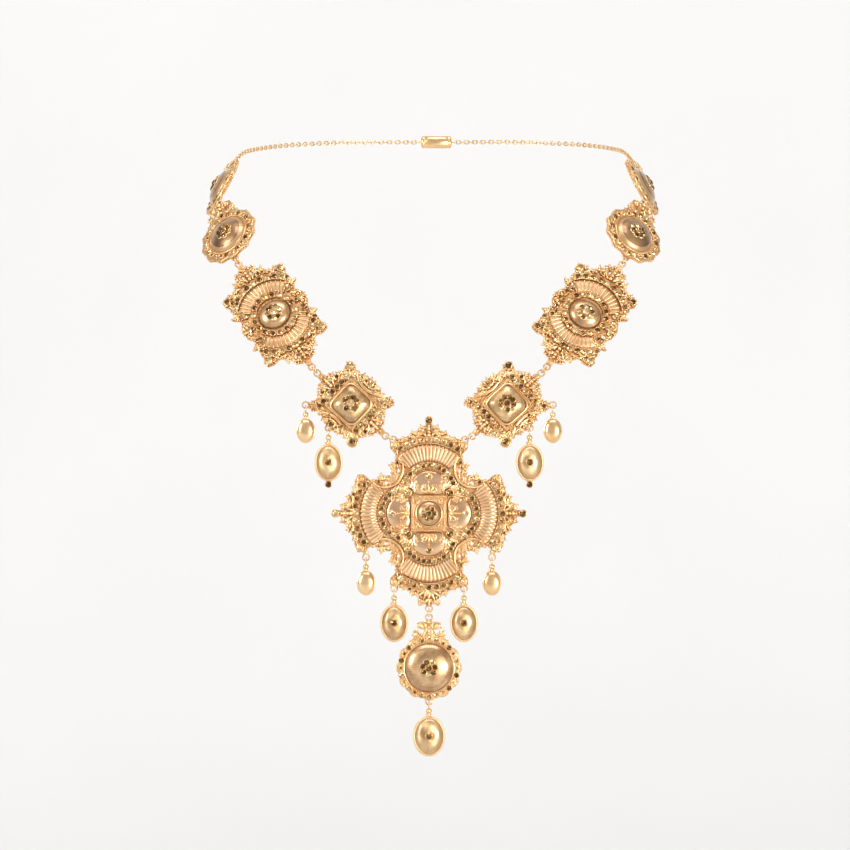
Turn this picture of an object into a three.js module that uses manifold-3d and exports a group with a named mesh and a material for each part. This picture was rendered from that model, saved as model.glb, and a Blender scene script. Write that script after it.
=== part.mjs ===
// A baroque filigree cross necklace, at its real size in millimetres, +Z up.
//
// The necklace keeps the form that it has on a neck. The origin is at the nape, on the
// inner face of the clasp. The wearer's front faces -Y, so the cross hangs at -Y.
// Each casting is drawn flat in its own frame: x across, y up along the necklace, z out
// towards the viewer. It is then stood at its place by the three directions of that frame.

import * as THREE from 'three';
import { mergeVertices } from 'three/addons/utils/BufferGeometryUtils.js';
import Module from 'manifold-3d';

const wasm = await Module();
wasm.setup();

// ---------------------------------------------------------------- driving dimensions

const CLEAR = 0.3; // air between a stone and the casting that it sits in
const UP = Math.PI / 2;
const CURL_STEPS = 2; // sides of a scroll's curl where it shows in an outline

// Jump rings, and the eyelets that they join.
const RING = { radius: 1.3, wire: 0.3, sides: 8, wireSides: 4, slack: 0.45 };
const EYE = { hole: 0.9, wall: 0.4, thick: 0.6, sides: 8, holeSides: 6 };
// How far the eyelets stand forward of the ground, so that what hangs from them hangs level.
const EYE_HEIGHT = { cross: 0.27, round: 0.53 };
// The middle of a ring lies this far from the centre of each eyelet that it joins.
const RING_REACH = RING.radius - RING.wire + EYE.hole - RING.slack;
const LINK = 2 * RING_REACH;

// Castings: how thick the ground is, and how high the relief on it stands.
const GROUND = { back: -0.5, face: 0.5 };
const BAND = 1.1;

// The cross. Its four arms are alike, and drawn pointing up.
const CROSS = {
  height: -132.1, // z of its centre
  front: -130.3, // y of the middle of its ground
  cornerEye: { across: 12.0, up: 24.7 },
  smallEye: { across: 21.1, up: -14.7 },
  largeEye: { across: 11.7, up: -25.2 },
  tipEye: { across: 0, up: -31.9 },
  sideCurl: { across: 21.2, up: -13.0, radius: 1.0 },
  tipStone: { radius: 1.35, onTop: 31.2, onSides: 31.4, high: 1.4 },
  plaque: 12.0,
  plaqueTop: 1.6,
  dome: 4.0,
  domeRise: 1.7,
};

// A fan of ribs, as on the arms of the cross and the ends of the panels.
const FAN = { ribs: 4, low: 0.65, high: 1.0 };

// Round medallions: one hangs under the cross, two climb each side of the neck.
const ROUND = { topEye: 16.9, bottomEye: 11.3 };
const MEDALLION = { seat: 8.8, dome: 8.4, domeRise: 3.0 };
const SIDE_ROUND = { seat: 7.6, dome: 7.2, domeRise: 2.8 };

// Panels and lozenges: eye is how far their end eyelets lie from the middle.
const PANEL = { eye: 23.2, gemRing: 7.3, ringHalf: 0.75, domeWide: 5.6, domeHigh: 4.4, domeRise: 2.4 };
const LOZENGE = { eye: 15.7, cushion: 5.2, rim: 6.4, domeRise: 2.4 };

// Oval drops on jump rings: half width, half height, and the neck under the eyelet.
const DROPS = {
  small: { wide: 3.15, high: 4.15, neck: 0.4 },
  large: { wide: 4.75, high: 6.4, neck: 1.1 },
  terminal: { wide: 5.5, high: 6.85, neck: 0.7 },
};
const DROP_WALL = 0.7;
const DROP_BEAD = { radius: 1.05, reach: RING.radius + 0.45 };

// Where the castings climb to, on the wearer's right side; the other side mirrors it.
// Each row names a casting, the way it climbs and the way its face looks.
const CLIMB = [
  { name: 'lozenge', along: [-0.733, 0.115, 0.671], face: [-0.035, -0.991, 0.132] },
  { name: 'panel', along: [-0.552, 0.349, 0.757], face: [-0.113, -0.932, 0.345] },
  { name: 'round_front', along: [-0.23, 0.7, 0.676], face: [-0.532, -0.672, 0.515] },
  { name: 'round_back', along: [0.06, 0.905, 0.42], face: [-0.87, -0.2, 0.45] },
];

// The chain behind the neck: a fine cable chain, as one tube on the route of its links.
const CHAIN = { radius: 0.95, sides: 8, step: 6.2 };
const CLASP = { length: 11, height: 4.4, depth: 2.6 };
const NAPE_ROUTE = [
  { across: -67.5, back: -47.0, up: -6.8 },
  { across: -63.0, back: -33.0, up: -4.4 },
  { across: -53.5, back: -18.0, up: -2.2 },
  { across: -38.0, back: -6.2, up: -0.7 },
  { across: -20.0, back: -0.2, up: 0 },
];

// ---------------------------------------------------------------- finishes

const finish = (name, color, roughness, metalness) =>
  new THREE.MeshStandardMaterial({ name, color, roughness, metalness });
const GOLD = finish('antique_gold', 0xd9a860, 0.32, 1);
const FOIL_GLASS = finish('foiled_glass', 0xd8bd86, 0.08, 0.2);
const STONE = finish('smoked_stone', 0x6b4e26, 0.12, 0.3);
const ROSE = finish('rose_gold', 0xd8a584, 0.3, 1);

// ---------------------------------------------------------------- solids

/** Turn a closed geometry into a solid that can be joined and cut. */
function solid(geometry) {
  const bare = geometry.clone();
  bare.deleteAttribute('normal');
  bare.deleteAttribute('uv');
  const merged = mergeVertices(bare, 1e-4);
  return new wasm.Manifold(
    new wasm.Mesh({
      numProp: 3,
      vertProperties: new Float32Array(merged.attributes.position.array),
      triVerts: new Uint32Array(merged.index.array),
    }),
  );
}

/** Turn a solid back into a geometry. */
function geometryOf(body) {
  const mesh = body.getMesh();
  const geometry = new THREE.BufferGeometry();
  geometry.setAttribute('position', new THREE.BufferAttribute(new Float32Array(mesh.vertProperties), 3));
  geometry.setIndex(new THREE.BufferAttribute(new Uint32Array(mesh.triVerts), 1));
  geometry.computeVertexNormals();
  return geometry;
}

const join = (bodies) => bodies.reduce((whole, body) => whole.add(body));
const cut = (body, tools) => (tools.length ? body.subtract(join(tools)) : body);

/** A flat outline of [x, y] points, standing from the height low to the height high. */
function slab(points, low, high) {
  const shape = new THREE.Shape(points.map(([x, y]) => new THREE.Vector2(x, y)));
  const geometry = new THREE.ExtrudeGeometry(shape, { depth: high - low, bevelEnabled: false });
  return solid(geometry.translate(0, 0, low));
}

/** Points round an oval. */
function oval(x, y, wide, high, sides, turn = 0) {
  return Array.from({ length: sides }, (_, i) => {
    const angle = turn + (2 * Math.PI * i) / sides;
    return [x + wide * Math.cos(angle), y + high * Math.sin(angle)];
  });
}

/** The corners of a square about the middle. */
const square = (half) => [[-half, -half], [half, -half], [half, half], [-half, half]];

/** Points round a band between two radii, spread by half an angle each way from mid. */
function arc(x, y, inner, outer, mid, half, steps) {
  const edge = (radius, sign) =>
    Array.from({ length: steps + 1 }, (_, i) => {
      const angle = mid + sign * half * ((2 * i) / steps - 1);
      return [x + radius * Math.cos(angle), y + radius * Math.sin(angle)];
    });
  return [...edge(outer, 1), ...edge(inner, -1)];
}

/** A fan: a sector whose top is folded into ribs, high and low by turns. */
function fan(x, y, inner, outer, mid, half) {
  const steps = 2 * FAN.ribs;
  const corners = [];
  for (let i = 0; i <= steps; i += 1) {
    const angle = mid + half * ((2 * i) / steps - 1);
    const top = i % 2 ? FAN.high : FAN.low;
    for (const [radius, z] of [[inner, 0], [outer, 0], [outer, top], [inner, top]]) {
      corners.push(x + radius * Math.cos(angle), y + radius * Math.sin(angle), z);
    }
  }
  const faces = [0, 1, 2, 0, 2, 3];
  for (let i = 0; i < steps; i += 1) {
    for (let side = 0; side < 4; side += 1) {
      const a = 4 * i + side;
      const b = 4 * i + ((side + 1) % 4);
      faces.push(a, a + 4, b + 4, a, b + 4, b);
    }
  }
  const end = 4 * steps;
  faces.push(end, end + 2, end + 1, end, end + 3, end + 2);
  const geometry = new THREE.BufferGeometry();
  geometry.setAttribute('position', new THREE.Float32BufferAttribute(corners, 3));
  geometry.setIndex(faces);
  return solid(geometry);
}

/** A body of revolution about z from [radius, z] rows, then stretched to an oval. */
function turned(rows, sides, wide = 1, high = 1) {
  const profile = rows.map(([radius, z]) => new THREE.Vector2(radius, z));
  const lathe = new THREE.LatheGeometry(profile, sides);
  return solid(lathe.rotateX(Math.PI / 2).scale(wide, high, 1));
}

/** A domed stone with a flat back at z = 0. */
const cabochon = (wide, high, rise, sides = 10) =>
  turned([[0, 0], [1, 0], [0.95, 0.35 * rise], [0.62, 0.84 * rise], [0, rise]], sides, wide, high);

/** A flower of stones: petals round a higher middle, with a flat back at z = 0. */
function cluster(radius, rise, petals) {
  const rim = Array.from({ length: 2 * petals }, (_, i) => {
    const r = i % 2 ? 0.78 * radius : radius;
    const angle = (Math.PI * i) / petals;
    return [r * Math.cos(angle), r * Math.sin(angle)];
  });
  const middle = turned([[0, 0.1], [0.7 * radius, 0.1], [0, rise]], petals);
  return slab(rim, 0, 0.55 * rise).add(middle);
}

/** A closed ring of round wire about z. */
function torus() {
  const { radius, wire, sides, wireSides } = RING;
  return solid(new THREE.TorusGeometry(radius, wire, wireSides, sides));
}

/** An eyelet at x, y whose middle is at height z: its solid and its hole. */
function eyelet(x, y, z) {
  const outer = EYE.hole + EYE.wall;
  const half = EYE.thick / 2;
  return {
    body: slab(oval(x, y, outer, outer, EYE.sides), z - half, z + half),
    hole: slab(oval(x, y, EYE.hole, EYE.hole, EYE.holeSides), GROUND.back - 1, BAND + 1),
  };
}

/**
 * A closed outline from rows for one half of a finial or arm, which points up. A row is a
 * point, or with r a round curl that runs between two angles in degrees. The half is
 * mirrored across x, and the whole is turned to each of the given directions.
 */
function outline(rows, directions) {
  const half = rows.flatMap(({ x, y, r, from, to }) => {
    if (!r) return [[x, y]];
    return Array.from({ length: CURL_STEPS + 1 }, (_, i) => {
      const angle = THREE.MathUtils.degToRad(from + ((to - from) * i) / CURL_STEPS);
      return [x + r * Math.cos(angle), y + r * Math.sin(angle)];
    });
  });
  const arm = [...half, ...half.map(([x, y]) => [-x, y]).reverse()];
  return directions.flatMap((degrees) => {
    const turn = THREE.MathUtils.degToRad(degrees);
    const [c, s] = [Math.cos(turn), Math.sin(turn)];
    return arm.map(([x, y]) => [x * c - y * s, x * s + y * c]);
  });
}

/** Pierced gaps on both sides of an arm that points up. */
const pierced = (rows) =>
  rows.flatMap(({ x, y, wide, high }) =>
    [-x, x].map((across) => slab(oval(across, y, wide, high, 4, UP), GROUND.back - 1, BAND + 1)),
  );

const turnedBy = (bodies, degrees) => bodies.map((body) => body.rotate([0, 0, degrees]));

// ---------------------------------------------------------------- the cross

// One arm, from the inner corner to its tip, on the side where x is above 0.
const ARM_EDGE = [
  { x: 11.9, y: 13.5, r: 1.0, from: -50, to: 80 },
  { x: 11.6, y: 15.0 },
  { x: 13.5, y: 15.9 },
  { x: 11.4, y: 16.8 },
  { x: 11.0, y: 19.6 },
  { x: 11.6, y: 22.9, r: 1.8, from: -40, to: 110 },
  { x: 8.6, y: 25.1 },
  { x: 6.3, y: 25.9 },
  { x: 5.7, y: 27.6 },
  { x: 4.2, y: 26.7 },
  { x: 2.6, y: 27.9, r: 1.1, from: -40, to: 100 },
  { x: 1.1, y: 29.1 },
  { x: 1.1, y: 30.8 },
];
const ARM_GAPS = [
  { x: 1.4, y: 27.0, wide: 0.5, high: 0.8 },
  { x: 10.2, y: 14.3, wide: 0.5, high: 0.8 },
];
const ARM_FAN = { from: 7.6, inner: 9.0, outer: 15.7, half: 0.72 };
const ARM_BAND = { inner: 7.7, outer: 9.2, half: 1.2 };
const ARM_ROW = { inner: 16.3, outer: 18.2, half: 0.6 };
const LOBE = { reach: 6.7, wide: 5.2, foot: 4.2, rise: 2.0, half: 1.25, top: 1.3 };
const LOBE_GEM = { up: 12.5, radius: 1.1, top: 2.0 };
const QUARTERS = [0, 90, 180, 270];

/** The raised work of one arm: its fan and its two bands of stones. */
function armRelief() {
  const { from } = ARM_FAN;
  return [
    slab(arc(0, from, ARM_BAND.inner, ARM_BAND.outer, UP, ARM_BAND.half, 6), 0, BAND),
    slab(arc(0, from, ARM_ROW.inner, ARM_ROW.outer, UP, ARM_ROW.half, 4), 0, BAND),
    fan(0, from, ARM_FAN.inner, ARM_FAN.outer, UP, ARM_FAN.half),
  ];
}

/** The cross in one casting: four arms, the square plaque and all its eyelets. */
function crossFrame(eyeHeight) {
  const bodies = [slab(outline(ARM_EDGE, QUARTERS), GROUND.back, GROUND.face)];
  const holes = [];
  for (const degrees of QUARTERS) {
    bodies.push(...turnedBy(armRelief(), degrees));
    holes.push(...turnedBy(pierced(ARM_GAPS), degrees));
  }
  bodies.push(slab(square(CROSS.plaque / 2), 0, CROSS.plaqueTop));
  const { across, up, radius } = CROSS.sideCurl;
  for (const side of [-1, 1]) {
    bodies.push(slab(oval(across * side, up, radius, radius, 6), GROUND.back, GROUND.face));
  }
  // Stones end three of the arms; the arm that points down ends in an eyelet.
  const { onTop, onSides, high, radius: stone } = CROSS.tipStone;
  for (const [x, y] of [[0, onTop], [onSides, 0], [-onSides, 0]]) {
    bodies.push(slab(oval(x, y, stone, stone, 6), GROUND.back, high));
  }
  for (const { x, y } of crossEyes()) {
    const eye = eyelet(x, y, eyeHeight);
    bodies.push(eye.body);
    holes.push(eye.hole);
  }
  return cut(join(bodies), holes);
}

/** Every eyelet of the cross, in its own frame. */
function crossEyes() {
  const eyes = [{ name: 'tip', x: CROSS.tipEye.across, y: CROSS.tipEye.up }];
  const pairs = { corner: CROSS.cornerEye, small: CROSS.smallEye, large: CROSS.largeEye };
  for (const [name, { across, up }] of Object.entries(pairs)) {
    eyes.push({ name: `${name}_right`, x: -across, y: up }, { name: `${name}_left`, x: across, y: up });
  }
  return eyes;
}

/** A smooth lobe between the plaque and the band of stones, for the arm that points up. */
function crossLobe() {
  const { reach, wide, foot, rise, half, top } = LOBE;
  const inner = CROSS.plaque / 2 + CLEAR;
  const bow = arc(0, ARM_FAN.from, 0, reach, UP, half, 6).slice(0, 7);
  const edge = [[-wide, inner + rise], [-foot, inner], [foot, inner], [wide, inner + rise]];
  const { up, radius, top: crown } = LOBE_GEM;
  const stone = slab(oval(0, up, radius, radius, 6), 1.0, crown);
  return slab([...bow, ...edge], GROUND.face + CLEAR, top).add(stone);
}

// ---------------------------------------------------------------- round medallions

const ROUND_EDGE = { scallops: 12, crest: 10.9, notch: 10.0 };
const BAIL_EDGE = [
  { x: 5.2, y: 9.2 },
  { x: 5.0, y: 12.2 },
  { x: 2.3, y: 10.9 },
  { x: 1.7, y: 12.7 },
  { x: 2.9, y: 14.4, r: 1.4, from: -80, to: 130 },
  { x: 1.0, y: 15.2 },
  { x: 0.9, y: 15.9 },
];
const BAIL_GAP = { wide: 0.6, high: 1.0, y: 12.6 };

/** A round casting: a scalloped rim about a dished seat, and a scrolled bail over it. */
function roundFrame(eyeHeight, seat) {
  const edge = Array.from({ length: 2 * ROUND_EDGE.scallops }, (_, i) => {
    const radius = i % 2 ? ROUND_EDGE.notch : ROUND_EDGE.crest;
    const angle = (Math.PI * i) / ROUND_EDGE.scallops;
    return [radius * Math.sin(angle), radius * Math.cos(angle)];
  });
  const bodies = [
    slab(edge, GROUND.back, BAND),
    slab(outline(BAIL_EDGE, [0]), GROUND.back, BAND),
  ];
  const holes = [
    slab(oval(0, 0, seat, seat, 16), GROUND.face, BAND + 1),
    slab(oval(0, BAIL_GAP.y, BAIL_GAP.wide, BAIL_GAP.high, 5, UP), GROUND.back - 1, BAND + 1),
  ];
  for (const y of [ROUND.topEye, -ROUND.bottomEye]) {
    const eye = eyelet(0, y, eyeHeight);
    bodies.push(eye.body);
    holes.push(eye.hole);
  }
  return cut(join(bodies), holes);
}

const SEAT_FLOOR = GROUND.face + CLEAR; // where the back of a stone sits
const roundDome = ({ dome, domeRise }) => cabochon(dome, dome, domeRise, 14).translate([0, 0, SEAT_FLOOR]);
const roundFlower = ({ domeRise }) => cluster(2.7, 1.5, 6).translate([0, 0, SEAT_FLOOR + domeRise + CLEAR]);

// ---------------------------------------------------------------- panels

// A quarter of a panel, from the middle of its long side to its tip.
const PANEL_EDGE = [
  { x: 10.4, y: 1.2, r: 2.0, from: -30, to: 60 },
  { x: 10.4, y: 4.8 },
  { x: 12.9, y: 6.7 },
  { x: 10.6, y: 7.6 },
  { x: 10.5, y: 9.8, r: 1.2, from: -50, to: 60 },
  { x: 10.6, y: 13.2, r: 1.9, from: -30, to: 110 },
  { x: 7.4, y: 14.4 },
  { x: 6.0, y: 14.9 },
  { x: 5.6, y: 17.6 },
  { x: 4.1, y: 16.2 },
  { x: 2.6, y: 18.7, r: 1.3, from: -50, to: 100 },
  { x: 1.1, y: 20.4 },
  { x: 1.0, y: 22.2 },
];
const PANEL_GAPS = [
  { x: 1.5, y: 17.8, wide: 0.5, high: 0.9 },
  { x: 9.6, y: 6.4, wide: 0.5, high: 0.8 },
];
const PANEL_FAN = { outer: 12.3, half: 0.86, rowInner: 12.5, rowOuter: 14.4 };

/** A panel: a central oval with two fans that open along the necklace. */
function panelFrame() {
  const { gemRing, ringHalf, eye } = PANEL;
  const { outer, half, rowInner, rowOuter } = PANEL_FAN;
  const bodies = [slab(outline(PANEL_EDGE, [0, 180]), GROUND.back, GROUND.face)];
  const holes = [];
  for (const degrees of [0, 180]) {
    const tip = eyelet(0, eye, 0);
    const end = [
      fan(0, 0, gemRing + 0.4, outer, UP, half),
      slab(arc(0, 0, rowInner, rowOuter, UP, half - 0.06, 5), 0, BAND),
      tip.body,
    ];
    bodies.push(...turnedBy(end, degrees));
    holes.push(...turnedBy([tip.hole, ...pierced(PANEL_GAPS)], degrees));
  }
  const ring = slab(oval(0, 0, gemRing + ringHalf, gemRing + ringHalf, 14), 0, BAND);
  const seat = slab(oval(0, 0, gemRing - ringHalf, gemRing - ringHalf, 14), GROUND.face, BAND + 1);
  return cut(join([...bodies, ring]), [seat, ...holes]);
}

function panelDome() {
  const { domeWide, domeHigh, domeRise } = PANEL;
  return cabochon(domeWide, domeHigh, domeRise).translate([0, 0, SEAT_FLOOR]);
}
const panelFlower = () => cluster(2.7, 1.3, 6).translate([0, 0, SEAT_FLOOR + PANEL.domeRise + CLEAR]);

// ---------------------------------------------------------------- lozenges

// A quarter of a lozenge, from the middle of its plain side to the tip that links on.
const LOZENGE_EDGE = [
  { x: 9.2, y: 0.8, r: 1.7, from: -20, to: 70 },
  { x: 9.1, y: 3.7, r: 1.2, from: -50, to: 90 },
  { x: 8.4, y: 6.0 },
  { x: 9.1, y: 9.1, r: 1.8, from: -50, to: 140 },
  { x: 5.8, y: 8.5 },
  { x: 4.7, y: 10.9 },
  { x: 3.5, y: 9.5 },
  { x: 2.4, y: 11.2, r: 1.3, from: -30, to: 110 },
  { x: 1.1, y: 12.8 },
  { x: 1.0, y: 14.8 },
];
const LOZENGE_GAPS = [
  { x: 1.3, y: 10.6, wide: 0.5, high: 0.9 },
  { x: 6.9, y: 7.6, wide: 0.5, high: 0.5 },
];

/** A lozenge: a square cushion in a beaded rim, with a finial on each side. */
function lozengeFrame(hand) {
  const bodies = [slab(outline(LOZENGE_EDGE, [0, 180]), GROUND.back, GROUND.face)];
  const holes = [];
  for (const degrees of [0, 180]) {
    const tip = eyelet(0, LOZENGE.eye, 0);
    bodies.push(...turnedBy([tip.body], degrees));
    holes.push(...turnedBy([tip.hole, ...pierced(LOZENGE_GAPS)], degrees));
  }
  for (const { x, y } of lozengeEyes(hand)) {
    const hang = eyelet(x, y, 0);
    bodies.push(hang.body);
    holes.push(hang.hole);
  }
  const wall = slab(square(LOZENGE.rim), 0, BAND);
  const seat = slab(square(LOZENGE.cushion + CLEAR), GROUND.face, BAND + 1);
  return cut(join([...bodies, wall]), [seat, ...holes]);
}

/** The two eyelets that a lozenge's drops hang on. */
const lozengeEyes = (hand) => [
  { name: 'small', x: 10.5 * hand, y: 11.2 },
  { name: 'large', x: 11.0 * hand, y: 0.2 },
];

/** A square cushion of foiled glass, higher in the middle. */
function lozengeDome() {
  const rows = [[0, 0], [1, 0], [0.97, 0.5], [0.74, 1.7], [0.36, 2.25], [0, LOZENGE.domeRise]];
  const side = LOZENGE.cushion * Math.SQRT2;
  return turned(rows, 4, side, side).rotate([0, 0, 45]).translate([0, 0, SEAT_FLOOR]);
}

const lozengeFlower = () => cluster(2.9, 1.7, 7).translate([0, 0, SEAT_FLOOR + LOZENGE.domeRise + CLEAR]);

// ---------------------------------------------------------------- drops

/** The neck, bead and jump ring on top of a drop, whose middle is at 0, 0. */
function dropHanger({ high, neck }) {
  const top = high + neck + DROP_BEAD.radius - 0.15;
  const half = EYE.thick / 2;
  const bead = slab(oval(0, top, DROP_BEAD.radius, DROP_BEAD.radius, 6, UP), -half, half);
  const [foot, head] = [high - 0.5, top - 0.6];
  const stem = slab([[-0.9, foot], [0.9, foot], [0.5, head], [-0.5, head]], -half, half);
  const ring = torus().rotate([0, 90, 0]).translate([0, top + DROP_BEAD.reach, 0]);
  return { body: join([bead, stem, ring]), pivot: top + DROP_BEAD.reach + RING_REACH };
}

/** How far the middle of a drop hangs below the eyelet that holds it. */
const dropLength = (size) => dropHanger(size).pivot;

/** A small drop: one smooth oval with a thin edge. */
function smallDrop() {
  const { wide, high } = DROPS.small;
  const rows = [[0, -0.55], [0.95, -0.5], [1, 0.1], [0.62, 1.05], [0, 1.3]];
  return turned(rows, 8, wide, high).add(dropHanger(DROPS.small).body);
}

/** The oval setting of a large drop: a flat cup with a low wall round the stone. */
function dropSetting(size, tipStone) {
  const { wide, high } = size;
  const bodies = [slab(oval(0, 0, wide, high, 12), -0.6, 0.7), dropHanger(size).body];
  if (tipStone) bodies.push(slab(oval(0, -high - 0.9, 1.25, 1.25, 6), -0.5, 0.8));
  return join(bodies).subtract(slab(oval(0, 0, wide - DROP_WALL, high - DROP_WALL, 12), 0, 2));
}

/** The domed glass of a large drop, with the small stone on it. */
function dropStone({ wide, high }) {
  const inset = DROP_WALL + CLEAR;
  const stone = slab(oval(0, 0, 1.3, 1.3, 6), 1.5, 2.7);
  return cabochon(wide - inset, high - inset, 1.9).add(stone).translate([0, 0, CLEAR]);
}

// ---------------------------------------------------------------- putting it together

const necklace = new THREE.Group();
const vector = (values) => new THREE.Vector3(...values);
const LOOKING_FORWARD = { along: [0, 0, 1], face: [0, -1, 0] };

/** Add one solid as a named mesh to a group. */
function part(group, name, body, material) {
  const mesh = new THREE.Mesh(geometryOf(body), material);
  mesh.name = name;
  group.add(mesh);
}

/** The matrix that stands a flat drawing at a place: y runs along, z faces out. */
function standing(place, { along, face }) {
  const y = vector(along).normalize();
  const z = vector(face);
  z.addScaledVector(y, -z.dot(y)).normalize();
  const x = new THREE.Vector3().crossVectors(y, z);
  return new THREE.Matrix4().makeBasis(x, y, z).setPosition(place);
}

/** A group of the necklace that stands a flat drawing at a place. */
function stand(place, directions) {
  const group = new THREE.Group();
  group.applyMatrix4(standing(place, directions));
  group.updateMatrix();
  necklace.add(group);
  return group;
}

/** Where a point of a stood drawing lies in the necklace's frame. */
const placed = (group, x, y, z = 0) => new THREE.Vector3(x, y, z).applyMatrix4(group.matrix);

/** A jump ring between two eyelets, with its plane on the way that the castings face. */
function linkRing(name, from, to, face) {
  const along = to.clone().sub(from).normalize();
  const out = vector(face).addScaledVector(along, -vector(face).dot(along)).normalize();
  const axis = new THREE.Vector3().crossVectors(along, out);
  const middle = from.clone().add(to).multiplyScalar(0.5);
  const group = stand(middle, { along: along.toArray(), face: axis.toArray() });
  part(group, name, torus(), GOLD);
}

/** Hang a drop straight down from an eyelet. */
function hangDrop(eye, kind, name, tipStone = false) {
  const size = DROPS[kind];
  const middle = eye.clone().add(new THREE.Vector3(0, 0, -dropLength(size)));
  const group = stand(middle, LOOKING_FORWARD);
  if (kind === 'small') {
    part(group, name, smallDrop(), GOLD);
    return;
  }
  part(group, `${name}_setting`, dropSetting(size, tipStone), GOLD);
  part(group, `${name}_stone`, dropStone(size), FOIL_GLASS);
}

// The cross, its four lobes, its middle stone and its four drops.
const cross = stand(new THREE.Vector3(0, CROSS.front, CROSS.height), LOOKING_FORWARD);
part(cross, 'cross_frame', crossFrame(EYE_HEIGHT.cross), GOLD);
const domeFoot = CROSS.plaqueTop + CLEAR;
const dome = cabochon(CROSS.dome, CROSS.dome, CROSS.domeRise).translate([0, 0, domeFoot]);
part(cross, 'cross_dome', dome, FOIL_GLASS);
const flower = cluster(2.5, 1.3, 6).translate([0, 0, domeFoot + CROSS.domeRise + CLEAR]);
part(cross, 'cross_flower', flower, STONE);
[['top', 0], ['right', 90], ['bottom', 180], ['left', 270]].forEach(([side, degrees]) => {
  part(cross, `cross_lobe_${side}`, crossLobe().rotate([0, 0, degrees]), ROSE);
});
const crossEye = Object.fromEntries(
  crossEyes().map(({ name, x, y }) => [name, placed(cross, x, y, EYE_HEIGHT.cross)]),
);
for (const hand of ['right', 'left']) {
  hangDrop(crossEye[`small_${hand}`], 'small', `cross_small_drop_${hand}`);
  hangDrop(crossEye[`large_${hand}`], 'large', `cross_large_drop_${hand}`);
}

// The medallion under the cross, on its jump ring, and the last drop under that.
const medallionEye = crossEye.tip.clone().add(new THREE.Vector3(0, 0, -LINK));
const medallion = stand(
  medallionEye.clone().add(new THREE.Vector3(0, EYE_HEIGHT.round, -ROUND.topEye)),
  LOOKING_FORWARD,
);
linkRing('link_medallion', medallionEye, crossEye.tip, [0, -1, 0]);
part(medallion, 'medallion_frame', roundFrame(EYE_HEIGHT.round, MEDALLION.seat), GOLD);
part(medallion, 'medallion_dome', roundDome(MEDALLION), FOIL_GLASS);
part(medallion, 'medallion_flower', roundFlower(MEDALLION), STONE);
hangDrop(placed(medallion, 0, -ROUND.bottomEye, EYE_HEIGHT.round), 'terminal', 'terminal_drop');

// Each side climbs from a corner of the cross to the chain behind the neck.
const casting = (frame, dome, flower, below, above) => ({ frame, dome, flower, below, above });
const ROUND_CASTING = casting(
  () => roundFrame(0, SIDE_ROUND.seat),
  () => roundDome(SIDE_ROUND),
  () => roundFlower(SIDE_ROUND),
  ROUND.bottomEye,
  ROUND.topEye,
);
const CASTINGS = {
  lozenge: casting(lozengeFrame, lozengeDome, lozengeFlower, LOZENGE.eye, LOZENGE.eye),
  panel: casting(panelFrame, panelDome, panelFlower, PANEL.eye, PANEL.eye),
  round_front: ROUND_CASTING,
  round_back: ROUND_CASTING,
};

/** One half of the chain: a ring soldered in the last eyelet, and a tube to the clasp. */
function backChain(eye, way, face, onSide) {
  const start = eye.clone().addScaledVector(way, RING_REACH + RING.radius);
  const clasped = [-(CLASP.length / 2 + CLEAR), CLASP.depth / 2, 0];
  const bends = NAPE_ROUTE.map(({ across, back, up }) => [across, back, up]);
  const route = [start, ...[...bends, clasped].map((point) => vector(onSide(point)))];
  const path = new THREE.CatmullRomCurve3(route);
  const ring = oval(0, 0, CHAIN.radius, CHAIN.radius, CHAIN.sides);
  const section = new THREE.Shape(ring.map(([x, y]) => new THREE.Vector2(x, y)));
  const steps = Math.round(path.getLength() / CHAIN.step);
  const tube = solid(new THREE.ExtrudeGeometry(section, { steps, extrudePath: path, bevelEnabled: false }));
  const across = new THREE.Vector3().crossVectors(way, vector(face));
  const middle = eye.clone().addScaledVector(way, RING_REACH);
  const place = standing(middle, { along: way.toArray(), face: across.toArray() });
  return torus().transform(place.elements).add(tube);
}

for (const [side, hand] of [['right', -1], ['left', 1]]) {
  const onSide = ([x, y, z]) => [-hand * x, y, z];
  let eye = crossEye[`corner_${side}`];
  let way = vector(onSide([-1, 0.1, 0.15])).normalize();
  for (const row of CLIMB) {
    const [along, face] = [onSide(row.along), onSide(row.face)];
    const { frame, dome: stone, flower: stones, below, above } = CASTINGS[row.name];
    // The link between two castings lies halfway between the ways that they climb.
    const nextWay = vector(along).normalize();
    const lowEye = eye.clone().addScaledVector(way.clone().add(nextWay).normalize(), LINK);
    linkRing(`link_${side}_${row.name}`, eye, lowEye, face);
    const group = stand(lowEye.clone().addScaledVector(nextWay, below), { along, face });
    part(group, `${side}_${row.name}_frame`, frame(hand), GOLD);
    part(group, `${side}_${row.name}_dome`, stone(), FOIL_GLASS);
    part(group, `${side}_${row.name}_flower`, stones(), STONE);
    if (row.name === 'lozenge') {
      for (const { name: kind, x, y } of lozengeEyes(hand)) {
        hangDrop(placed(group, x, y), kind, `${side}_${kind}_drop`, kind === 'large');
      }
    }
    eye = placed(group, 0, above);
    way = nextWay;
  }
  const chain = backChain(eye, way, onSide(CLIMB.at(-1).face), onSide);
  part(necklace, `back_chain_${side}`, chain, GOLD);
}

// The clasp: one plain barrel at the nape.
const barrel = oval(0, 0, CLASP.depth / 2, CLASP.height / 2, 12);
const clasp = slab(barrel, -CLASP.length / 2, CLASP.length / 2).rotate([0, 90, 0]).rotate([90, 0, 0]);
part(necklace, 'clasp', clasp.translate([0, CLASP.depth / 2, 0]), GOLD);

export default necklace;
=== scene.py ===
# %% [markdown]
# # A baroque cross necklace
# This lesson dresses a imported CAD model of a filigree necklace. The CAD castings stay as
# the metal ground. On them we set what a jeweller would set: wires, scrolls, leaves,
# stones in their collets, glass over foil, and a chain of real links.
# We start with the frame, which every piece is placed on.

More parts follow.
